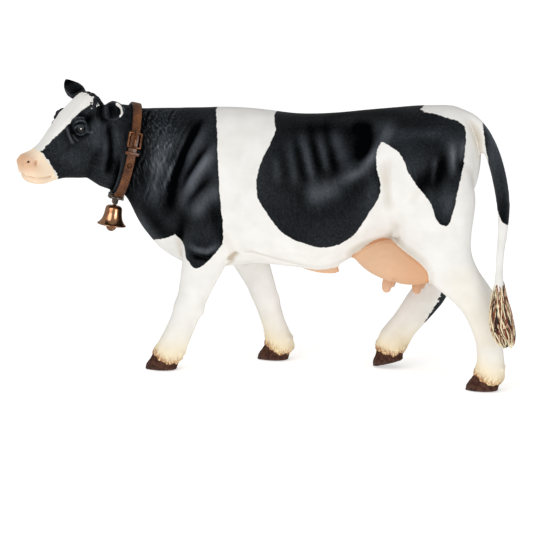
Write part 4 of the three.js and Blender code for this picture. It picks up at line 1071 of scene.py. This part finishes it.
def ear_cups(at):
    """How far the ears' open sides are hollowed, as a shift of every point of the head"""
    here = on_head(at)
    shift = np.zeros_like(here)
    for ear in EARS.values():
        placed, thick, length = on_ear(here, ear)
        share, beside, above = placed[:, 0] / length, placed[:, 1], placed[:, 2]
        hollow = ease(above, -0.1, 0.5) * ease(share, *CUP_OPENS) * (1 - ease(share, *CUP_CLOSES))
        hollow *= np.clip(1 - (beside / CUP_HALF) ** 2, 0, 1)
        near = (np.abs(above) < EAR_THICK) & (np.abs(beside) < EAR_WIDE) & (share < 1.1)
        shift -= np.where(near, hollow, 0)[:, None] * CUP_DEPTH * thick
    return shift @ np.vstack([FACE, LEFT, BROW])


neck_end = Vector(COLLAR_AT) * MM - ALONG * NECK_KEPT * MM
neck = grown_copy(["torso"], SEAM_FILL)
half_kept(neck, neck_end, ALONG)
clay = grown_copy(HEAD_NODES, SEAM_FILL)
clay.from_mesh(as_mesh(neck, "neck"))
skin = kneaded(clay, HEAD_VOXEL)
set_points(skin, points(skin) - normals(skin) * SEAM_FILL)
relax(skin, HEAD_ROUNDS, HEAD_SOFTNESS)
at = points(skin)
set_points(skin, at + normals(skin) * head_forms(at)[:, None] + ear_cups(at))
relax(skin, FORM_ROUNDS, HEAD_FORM_SOFTNESS)
# The head's stored relief carries its painted light strokes too: painted highlights and shade
keep(skin, "relief_and_painted_light", cavities(skin, HEAD_CAVITY_ROUNDS) + painted_light_at(points(skin)))
keep(skin, "crease", cavities(skin, CREASE_ROUNDS))

# The blaze on the brow is white as far as this edge: along the face, and out from its middle
BLAZE_EDGE = ((-4, 3.7), (-1, 4.1), (2, 4.1), (6.2, 3.9), (10.6, 2.9), (15, 2.1), (19, 2.2))
BLAZE_BACK = -3.4
BLAZE_SIDE = 7.6
# A painted highlight on the near ear's rim, in white: along the ear and across it
EAR_GLARE_LINE = ((8.1, 1.65), (8.9, 1.1), (9.5, 0.2), (9.55, -0.9), (8.9, -2.0))
EAR_GLARE_HALF = 0.38
EAR_GLARE_LOW = -0.4
MUZZLE_START = 17.3
FRINGE = 0.25
MUZZLE_BLUSH = 0.24
NOSE_BLUSH = 0.56
HEAD_EDGE = 0.35
POLL_EDGE = 2.2
MUZZLE_EDGE = 0.6
STREAKS_ON_HEAD = 0.25
NOSTRIL_RADIUS = 0.45
GLINT_AT = (5.3, 7.2, 10.3)
GLINT_RADIUS = 0.34


def paint_head(mesh):
    """Stores what the coat's paint needs on a piece of the head"""
    here = on_head(points(mesh))
    u, v, w = here.T
    edge = np.interp(u, *np.array(BLAZE_EDGE).T)
    blaze = np.minimum(np.minimum(edge - np.abs(v), u - BLAZE_BACK), w - BLAZE_SIDE)
    placed = on_ear(here, EARS["ear_left"])[0]
    # The painted highlight on the near ear's rim is cut out of the black
    rim = nearest(placed[:, :2], EAR_GLARE_LINE)[0] - EAR_GLARE_HALF
    rim = np.where((placed[:, 2] > EAR_GLARE_LOW) & (placed[:, 2] < EAR_THICK), rim, 1.0)
    keep(mesh, "black", np.minimum(np.minimum(-blaze, MUZZLE_START - FRINGE - u), rim))
    keep(mesh, "skin", u - MUZZLE_START)
    for name, value in (("ochre", 0), ("tuft", 0), ("rust", 0), ("horn", -1)):
        keep(mesh, name, np.full(len(here), float(value)))
    nose = ease(w - 0.5 * (u - 20), 5, 9)
    keep(mesh, "blush_and_shade", ease(u, 18, 22) * (MUZZLE_BLUSH + NOSE_BLUSH * nose))
    poll = (1 - ease(u, -2.5, 0.5)) * ease(w, 8, 10) * (1 - ease(np.abs(v), 4.5, 6))
    keep(mesh, "ragged", HEAD_EDGE + POLL_EDGE * poll + MUZZLE_EDGE * ease(u, 14, 16))
    keep(mesh, "streaky", np.full(len(here), STREAKS_ON_HEAD))
    near = np.column_stack([u, np.abs(v), w])
    apart = np.linalg.norm(near - np.array(EYE_AT), axis=1)
    nostril = NOSTRIL_RADIUS - nearest(near, NOSTRIL)[0]
    keep(mesh, "eye", np.maximum(EYE_RADIUS - apart, nostril))
    keep(mesh, "glint", GLINT_RADIUS - np.linalg.norm(near - np.array(GLINT_AT), axis=1))


head = bmesh.new()
head.from_mesh(skin)
half_kept(head, Vector(COLLAR_AT) * MM, ALONG)
rest = as_mesh(head, "head")
for node in EARS:
    casting, rest = parted(rest, grown_copy([node], EAR_REACH), EAR_VOXEL)
    paint_head(casting)
    finished(casting, node + "_casting", node, coat, CASTING_CREASE)
paint_head(rest)
finished(rest, "head_casting", "head", coat, CASTING_CREASE)

# Tail switch
# A tuft of PVC hair at the tail's end, modelled as locks that twist a little as they fall, and
# painted cream with brown and near-black strands. It hides the tail casting's thick end.
SWITCH_AXIS = (
    (63.77, -12.39, 32.6),
    (64.17, -13.79, 28.0),
    (64.87, -14.59, 22.5),
    (65.57, -14.69, 18.2),
    (66.27, -14.49, 15.2),
    (66.87, -14.39, 13.6),
)
SWITCH_HALF_X = (0.95, 1.8, 2.9, 3.0, 2.2, 1.1)
SWITCH_HALF_Y = (0.9, 1.5, 1.9, 1.8, 1.3, 0.7)
SWITCH_STEPS = 60
STRANDS = 240
STRAND_ROWS = 9
STRAND_SIDES = 5
STRAND_RADIUS = 0.2
STRAND_TIP = 0.04
GOLDEN_TURN = 2.39996
SEED = 7
# Ranges that each strand's luck is drawn from: where it starts and how long it is, as shares of
# the switch, how it twists, how far out it lies and flares, and how thick it is
START_LUCK = (0.04, 0.4)
LENGTH_LUCK = (0.4, 0.75)
TWIST_LUCK = (-0.5, 0.5)
OUT_LUCK = (0.85, 1.1)
FLARE_LUCK = (-0.1, 0.35)
GIRTH_LUCK = (0.75, 1.1)
# How dark a strand can be; brown and dark ones lie mostly on the near side, to the rear
SHADES = (0.0, 0.5, 1.0)
SHADE_TURN = 0.8
TIPS_PALE = (0.6, 0.92)
# A circle's first corner lies on y; a strand's lies on x
FROM_X = Matrix.Rotation(math.radians(-90), 4, "Z")


def curve(corners, rows):
    """Places at even steps along a smooth open curve through corners"""
    p1 = np.array(corners, float)
    ends = np.vstack([2 * p1[0] - p1[1], p1, 2 * p1[-1] - p1[-2]])
    t = np.linspace(0, len(p1) - 1, rows)
    k = np.minimum(t.astype(int), len(p1) - 2)
    t = (t - k)[:, None]
    a, b, c, d = ends[k], ends[k + 1], ends[k + 2], ends[k + 3]
    bend = t**2 * (a - 2.5 * b + 2 * c - 0.5 * d) + t**3 * (1.5 * b - 1.5 * c + 0.5 * d - 0.5 * a)
    return b + 0.5 * t * (c - a) + bend


def sleeve(clay, rings):
    """Bridges rings of corners in a bmesh, each to the next"""
    hoops = []
    for ring in rings:
        pairs = zip(ring, ring[1:] + ring[:1])
        hoops.append([clay.edges.get(pair) or clay.edges.new(pair) for pair in pairs])
    for low, high in zip(hoops, hoops[1:]):
        bmesh.ops.bridge_loops(clay, edges=[*low, *high])


def strand(clay, path, radii):
    """Adds a tapered lock of hair to a bmesh, closed at both ends"""
    rings = []
    for row, radius in enumerate(radii):
        made = bmesh.ops.create_circle(
            clay,
            cap_ends=row in (0, STRAND_ROWS - 1),
            segments=STRAND_SIDES,
            radius=radius * MM,
            matrix=Matrix.Translation(Vector(path[row]) * MM) @ FROM_X,
        )
        rings.append(list(made["verts"]))
    sleeve(clay, rings)


luck = np.random.default_rng(SEED)
steps = np.linspace(0, 1, SWITCH_STEPS)
guide = curve(np.column_stack([SWITCH_AXIS, SWITCH_HALF_X, SWITCH_HALF_Y]), SWITCH_STEPS)
clay = bmesh.new()
shades = []
for k in range(STRANDS):
    start = luck.uniform(*START_LUCK)
    end = min(1.0, start + luck.uniform(*LENGTH_LUCK))
    t = np.linspace(start, end, STRAND_ROWS)
    fallen = t - start
    x, y, z, half_x, half_y = (np.interp(t, steps, row) for row in guide.T)
    turn = k * GOLDEN_TURN + luck.uniform(*TWIST_LUCK) * fallen + 0.25 * np.sin(9 * t + k)
    out = luck.uniform(*OUT_LUCK) + luck.uniform(*FLARE_LUCK) * fallen**2
    path = np.column_stack([x + out * half_x * np.cos(turn), y + out * half_y * np.sin(turn), z])
    taper = np.minimum(1, 3.2 * (1 - fallen / (end - start))) * np.minimum(1, 0.5 + 8 * fallen)
    strand(clay, path, STRAND_TIP + (STRAND_RADIUS - STRAND_TIP) * taper * luck.uniform(*GIRTH_LUCK))
    facing = 0.5 + 0.5 * math.cos(k * GOLDEN_TURN + SHADE_TURN)
    cream = 0.8 - 0.55 * facing
    black = 0.12 + 0.12 * facing
    shade = luck.choice(SHADES, p=[cream, 1 - cream - black, black])
    shades += list(np.repeat(shade * (1 - 0.9 * ease(t, *TIPS_PALE)), STRAND_SIDES))
bmesh.ops.recalc_face_normals(clay, faces=clay.faces)
switch_mesh = as_mesh(clay, "switch")
keep(switch_mesh, "shade", shades)

# Satin PVC with paint brushed over it: cream locks that shade to brown, with dark ones between
HAIR_GRAIN = 1.6
hair, tree = material("brush-painted PVC hair")
shade = add(tree, "Attribute", output="Fac", attribute_name="shade")
shade = add(
    tree, "Math", (shade, speckle(tree, HAIR_GRAIN, 2.0, 0.3, 0.7, -0.2, 0.2)), operation="ADD"
)
brown = add(tree, "MapRange", (shade, 0.15, 0.5))
tone = add(tree, "Mix", {0: brown, 6: linear("#efe2bd"), 7: linear("#86421f")}, **BLEND)
sooty = add(tree, "MapRange", (shade, 0.7, 0.95))
tone = add(tree, "Mix", {0: sooty, 6: tone, 7: linear("#2b1811")}, **BLEND)
locks = add(tree, "BsdfPrincipled", {"Base Color": tone, "Roughness": 0.5, "IOR": 1.5})
add(tree, "OutputMaterial", {"Surface": locks})
switch_mesh.materials.append(hair)
switch_mesh.shade_smooth()
switch = put(switch_mesh, "tail_switch")
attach(switch, "figure")

# Collar strap
# A band of brown leather with its edges pared round, bent about the neck and glued; its free
# end lies over the band below the buckle and runs out to a point.
STRAP_STATIONS = 160
STRAP_HALF = 1.35
STRAP_INNER = 0.3
STRAP_OUTER = 1.1
STRAP_ROUND = 0.3
STRAP_EDGE = (1.12, 1.3)
NECK = {"half": 7.8, "up": 13.2, "down": 11.6, "crown": 1.85, "keel": 2.25}
TONGUE_STATIONS = 48
TONGUE_FROM = 30
TONGUE_TO = -17
TONGUE_POINT = 4.0
TONGUE_TIP = 0.12
TONGUE_HALF = 1.12
TONGUE_SUNK = 0.2
TONGUE_THICK = 0.22
TONGUE_ROUND = 0.1
SHARP = math.radians(35)
BEVEL_STEPS = 3
FITTING_CREASE = math.radians(60)
collar_place = Matrix.Translation(Vector(COLLAR_AT) * MM) @ Matrix(
    (ACROSS, RISE, ALONG)
).transposed().to_4x4()


def neck_point(turn, grow):
    """A point of the neck's outline under the collar, grown outward"""
    power = NECK["crown"] if math.sin(turn) >= 0 else NECK["keel"]
    tall = NECK["up"] if math.sin(turn) >= 0 else NECK["down"]
    x = (NECK["half"] + grow) * math.copysign(abs(math.cos(turn)) ** (2 / power), math.cos(turn))
    y = (tall + grow) * math.copysign(abs(math.sin(turn)) ** (2 / power), math.sin(turn))
    return Vector((x, y, 0)) * MM


def softened(clay, offset):
    """Rounds over every sharp edge of a bmesh"""
    bmesh.ops.recalc_face_normals(clay, faces=clay.faces)
    sharp = [e for e in clay.edges if e.is_manifold and e.calc_face_angle() > SHARP]
    bmesh.ops.bevel(
        clay,
        geom=sharp,
        offset=offset * MM,
        offset_type="OFFSET",
        segments=BEVEL_STEPS,
        profile=0.5,
        affect="EDGES",
        clamp_overlap=True,
        material=-1,
    )


def band(turns, halves, inner, outer, joined):
    """A strip of leather round the neck, from an inner to an outer growth, its ends joined or not"""
    clay = bmesh.new()
    rings = []
    for turn, half in zip(turns, halves):
        # Hand-cut leather waves a little along the neck
        wave = 0.05 * math.sin(3 * turn + 0.6) + 0.03 * math.sin(7 * turn)
        low = neck_point(turn, inner)
        high = neck_point(turn, outer + 0.6 * wave)
        ring = []
        for base, side in ((low, -1), (high, -1), (high, 1), (low, 1)):
            ring.append(clay.verts.new(base + Vector((0, 0, (side * half + wave) * MM))))
        rings.append(ring)
    sleeve(clay, rings + rings[:1] if joined else rings)
    if not joined:
        clay.faces.new(rings[0])
        clay.faces.new(rings[-1])
    return clay


turns = [2 * math.pi * k / STRAP_STATIONS for k in range(STRAP_STATIONS)]
strap = band(turns, [STRAP_HALF] * STRAP_STATIONS, STRAP_INNER, STRAP_OUTER, joined=True)
softened(strap, STRAP_ROUND)
angles = np.linspace(TONGUE_FROM, TONGUE_TO, TONGUE_STATIONS)
widths = [min(1, TONGUE_TIP + (angle - TONGUE_TO) / TONGUE_POINT) * TONGUE_HALF for angle in angles]
tongue = band(
    [math.radians(angle) for angle in angles],
    widths,
    STRAP_OUTER - TONGUE_SUNK,
    STRAP_OUTER + TONGUE_THICK,
    joined=False,
)
softened(tongue, TONGUE_ROUND)
strap.from_mesh(as_mesh(tongue, "tongue"))
strap.transform(collar_place)
strap_mesh = as_mesh(strap, "strap")
aside = (points(strap_mesh) - COLLAR_AT) @ np.array(ALONG)
keep(strap_mesh, "edge", ease(np.abs(aside), *STRAP_EDGE))

# Waxed leather: polished, so that it shines along its bends, worn tan in patches and nearly
# black on its cut edges. Real pores would be too fine to show and are drawn coarser.
PORE_GRAIN = 0.35
PORE_DEPTH = 0.12
WEAR_GRAIN = 3.0
leather, tree = material("waxed leather")
pores = speckle(tree, PORE_GRAIN, 3.0)
worn = speckle(tree, WEAR_GRAIN, 2.0, 0.3, 0.7)
filled = add(tree, "MapRange", (pores, 0.35, 0.55, 0.5, 0))
pared = add(tree, "Attribute", output="Fac", attribute_name="edge")
tan = add(tree, "Mix", {0: worn, 6: linear("#4b2b1a"), 7: linear("#80502f")}, **BLEND)
tan = add(tree, "Mix", {0: filled, 6: tan, 7: linear("#2a170e")}, **BLEND)
tan = add(tree, "Mix", {0: pared, 6: tan, 7: linear("#130a06")}, **BLEND)
grain = add(tree, "Bump", {"Height": pores, "Strength": 0.35, "Distance": PORE_DEPTH * MM})
waxed = add(
    tree, "BsdfPrincipled", {"Base Color": tan, "Roughness": 0.24, "IOR": 1.5, "Normal": grain}
)
add(tree, "OutputMaterial", {"Surface": waxed})
finished(strap_mesh, "leather_strap", "collar_strap", leather, FITTING_CREASE)

# Collar fittings
# A cast buckle with its prong, the keeper loop below it and a rivet, all of brass that was
# stained brown with the strap; the bell's hanger and its pin are burnished dark.
FITTINGS = (
    {"node": "buckle_frame", "name": "cast_buckle", "round": 0.22, "skin": "stained"},
    {"node": "buckle_prong", "name": "bent_prong", "round": 0.14, "skin": "stained"},
    {"node": "strap_keeper", "name": "keeper_loop", "round": 0.16, "skin": "leather"},
    {"node": "collar_rivet", "name": "domed_rivet", "round": 0.12, "skin": "stained"},
    {"node": "bell_hanger", "name": "hanger_clip", "round": 0.14, "skin": "dark"},
    {"node": "bell_pin", "name": "peened_pin", "round": 0.1, "skin": "dark"},
)
FLAT = math.radians(2)
TARNISH_GRAIN = 0.9
TARNISH_DULLS = 0.08


def metal(name, low, high, roughness):
    """A metal with two tones of tarnish in soft patches, duller where it is darker"""
    made, tree = material(name)
    patches = speckle(tree, TARNISH_GRAIN, 3.0, 0.35, 0.65)
    tone = add(tree, "Mix", {0: patches, 6: linear(low), 7: linear(high)}, **BLEND)
    rough = add(tree, "MapRange", (patches, 0, 1, roughness + TARNISH_DULLS, roughness))
    bare = add(tree, "BsdfPrincipled", {"Base Color": tone, "Roughness": rough, "Metallic": 1.0})
    add(tree, "OutputMaterial", {"Surface": bare})
    return made


def rounded_copy(node, offset):
    """A copy of a CAD node's solid with its sharp edges rounded over"""
    clay = grown_copy([node], 0)
    bmesh.ops.dissolve_limit(clay, angle_limit=FLAT, verts=clay.verts, edges=clay.edges)
    softened(clay, offset)
    return as_mesh(clay, node)


# The stain leaves the brass a dull brown that shines softly on its edges; burnishing leaves the
# hanger greyer and brighter.
skins = {
    "stained": metal("stained cast brass", "#5f3d29", "#8d6246", 0.34),
    "dark": metal("burnished dark brass", "#4a4039", "#8f8478", 0.28),
    "leather": leather,
}
for part in FITTINGS:
    mesh = rounded_copy(part["node"], part["round"])
    finished(mesh, part["name"], part["node"], skins[part["skin"]], FITTING_CREASE)

# Bell
# Spun from copper sheet with a rolled lip, with an eye brazed to its crown that turns on the
# hanger's pin. A pin across its inside carries the clapper, which is cast with a round bob.
BELL_AT = Vector((-45.8978, -1.9861, 45.9614)) * MM
BELL_TILT = math.radians(-8)
BELL_STEPS = 72
EYE_STEPS = 32
# Profiles are radius and height, in millimetres from the pin that the bell hangs on
BELL_OUTSIDE = (
    (0, -0.95), (1.3, -1.0), (1.9, -1.2), (2.25, -1.6), (2.38, -2.2),
    (2.48, -3.2), (2.68, -4.2), (3.0, -5.1), (3.45, -5.8), (3.85, -6.2),
)
BELL_LIP = ((3.98, -6.28), (4.06, -6.4), (4.05, -6.54), (3.94, -6.62), (3.8, -6.6), (3.68, -6.5))
BELL_INSIDE = (
    (3.45, -6.25), (3.0, -5.75), (2.5, -5.1), (2.15, -4.1), (1.95, -3.2),
    (1.85, -2.2), (1.5, -1.75), (0.9, -1.6), (0, -1.6),
)
OUTSIDE_ROWS = 40
INSIDE_ROWS = 30
BELL_EYE = {"inner": 0.45, "outer": 0.75, "half": 0.4, "bevel": (0.07, 0.1)}
EYE_STEM = ((0, -0.55), (0.36, -0.58), (0.4, -0.75), (0.62, -0.95), (1.0, -1.06), (0, -1.3))
AXLE_ROUND = 0.1
bell_up = Matrix.Rotation(BELL_TILT, 3, ACROSS) @ Vector((0, 0, 1))
bell_place = Matrix.Translation(BELL_AT) @ Matrix(
    (ACROSS.cross(bell_up), ACROSS, bell_up)
).transposed().to_4x4()
to_pin = Matrix.Rotation(math.radians(-90), 4, "X")


def turned(profile, steps, closed=False):
    """A bmesh turned about z from a profile of radius and height in millimetres"""
    clay = bmesh.new()
    row = [clay.verts.new((radius * MM, 0, height * MM)) for radius, height in profile]
    edges = [clay.edges.new(pair) for pair in zip(row, row[1:])]
    if closed:
        edges.append(clay.edges.new((row[-1], row[0])))
    bmesh.ops.spin(
        clay,
        geom=[*row, *edges],
        cent=(0, 0, 0),
        axis=(0, 0, 1),
        angle=2 * math.pi,
        steps=steps,
        use_merge=True,
    )
    bmesh.ops.remove_doubles(clay, verts=clay.verts, dist=WELD)
    bmesh.ops.recalc_face_normals(clay, faces=clay.faces)
    return clay


def eyelet(inner, outer, half, bevel, height=0):
    """A ring round a pin that lies across the bell at a height, with its corners taken off"""
    across, along = bevel
    edge = along - half
    low = [(inner, edge), (inner + across, -half), (outer - across, -half), (outer, edge)]
    high = [(radius, -side) for radius, side in reversed(low)]
    ring = turned(low + high, EYE_STEPS, closed=True)
    ring.transform(Matrix.Translation((0, 0, height * MM)) @ to_pin)
    return as_mesh(ring, "eye")


bell = turned(
    [*curve(BELL_OUTSIDE, OUTSIDE_ROWS), *BELL_LIP, *curve(BELL_INSIDE, INSIDE_ROWS)], BELL_STEPS
)
bell.from_mesh(eyelet(**BELL_EYE))
bell.from_mesh(as_mesh(turned(EYE_STEM, EYE_STEPS), "stem"))
bell.transform(bell_place)
# Polished with a cloth: it mirrors the softboxes in long pale streaks round its waist and lip
copper = metal("burnished copper", "#c38259", "#e0b08a", 0.17)
bell_mesh = as_mesh(bell, "bell")
finished(bell_mesh, "spun_bell", "bell", copper, FITTING_CREASE, "bell")
axle = rounded_copy("clapper_pin", AXLE_ROUND)
finished(axle, "clapper_axle", "clapper_pin", copper, FITTING_CREASE, "bell")

CLAPPER_STEPS = 40
CLAPPER_BOB = -6.9
BOB_RADIUS = 1.45
BOB_ROWS = 24
BOB_TURN = 2.7
CLAPPER_ROD = ((0.45, -5.2), (0.38, -4.6), (0.36, -3.8), (0, -3.5))
CLAPPER_EYE = {"inner": 0.45, "outer": 0.9, "half": 0.38, "bevel": (0.1, 0.13), "height": -2.8}
bob = []
for turn in np.linspace(0, BOB_TURN, BOB_ROWS):
    bob.append((BOB_RADIUS * math.sin(turn), CLAPPER_BOB - BOB_RADIUS * math.cos(turn)))
clapper = turned([*bob, *CLAPPER_ROD], CLAPPER_STEPS)
clapper.from_mesh(eyelet(**CLAPPER_EYE))
clapper.transform(bell_place)
clapper_mesh = as_mesh(clapper, "clapper")
finished(clapper_mesh, "cast_clapper", "clapper", copper, FITTING_CREASE, "clapper")
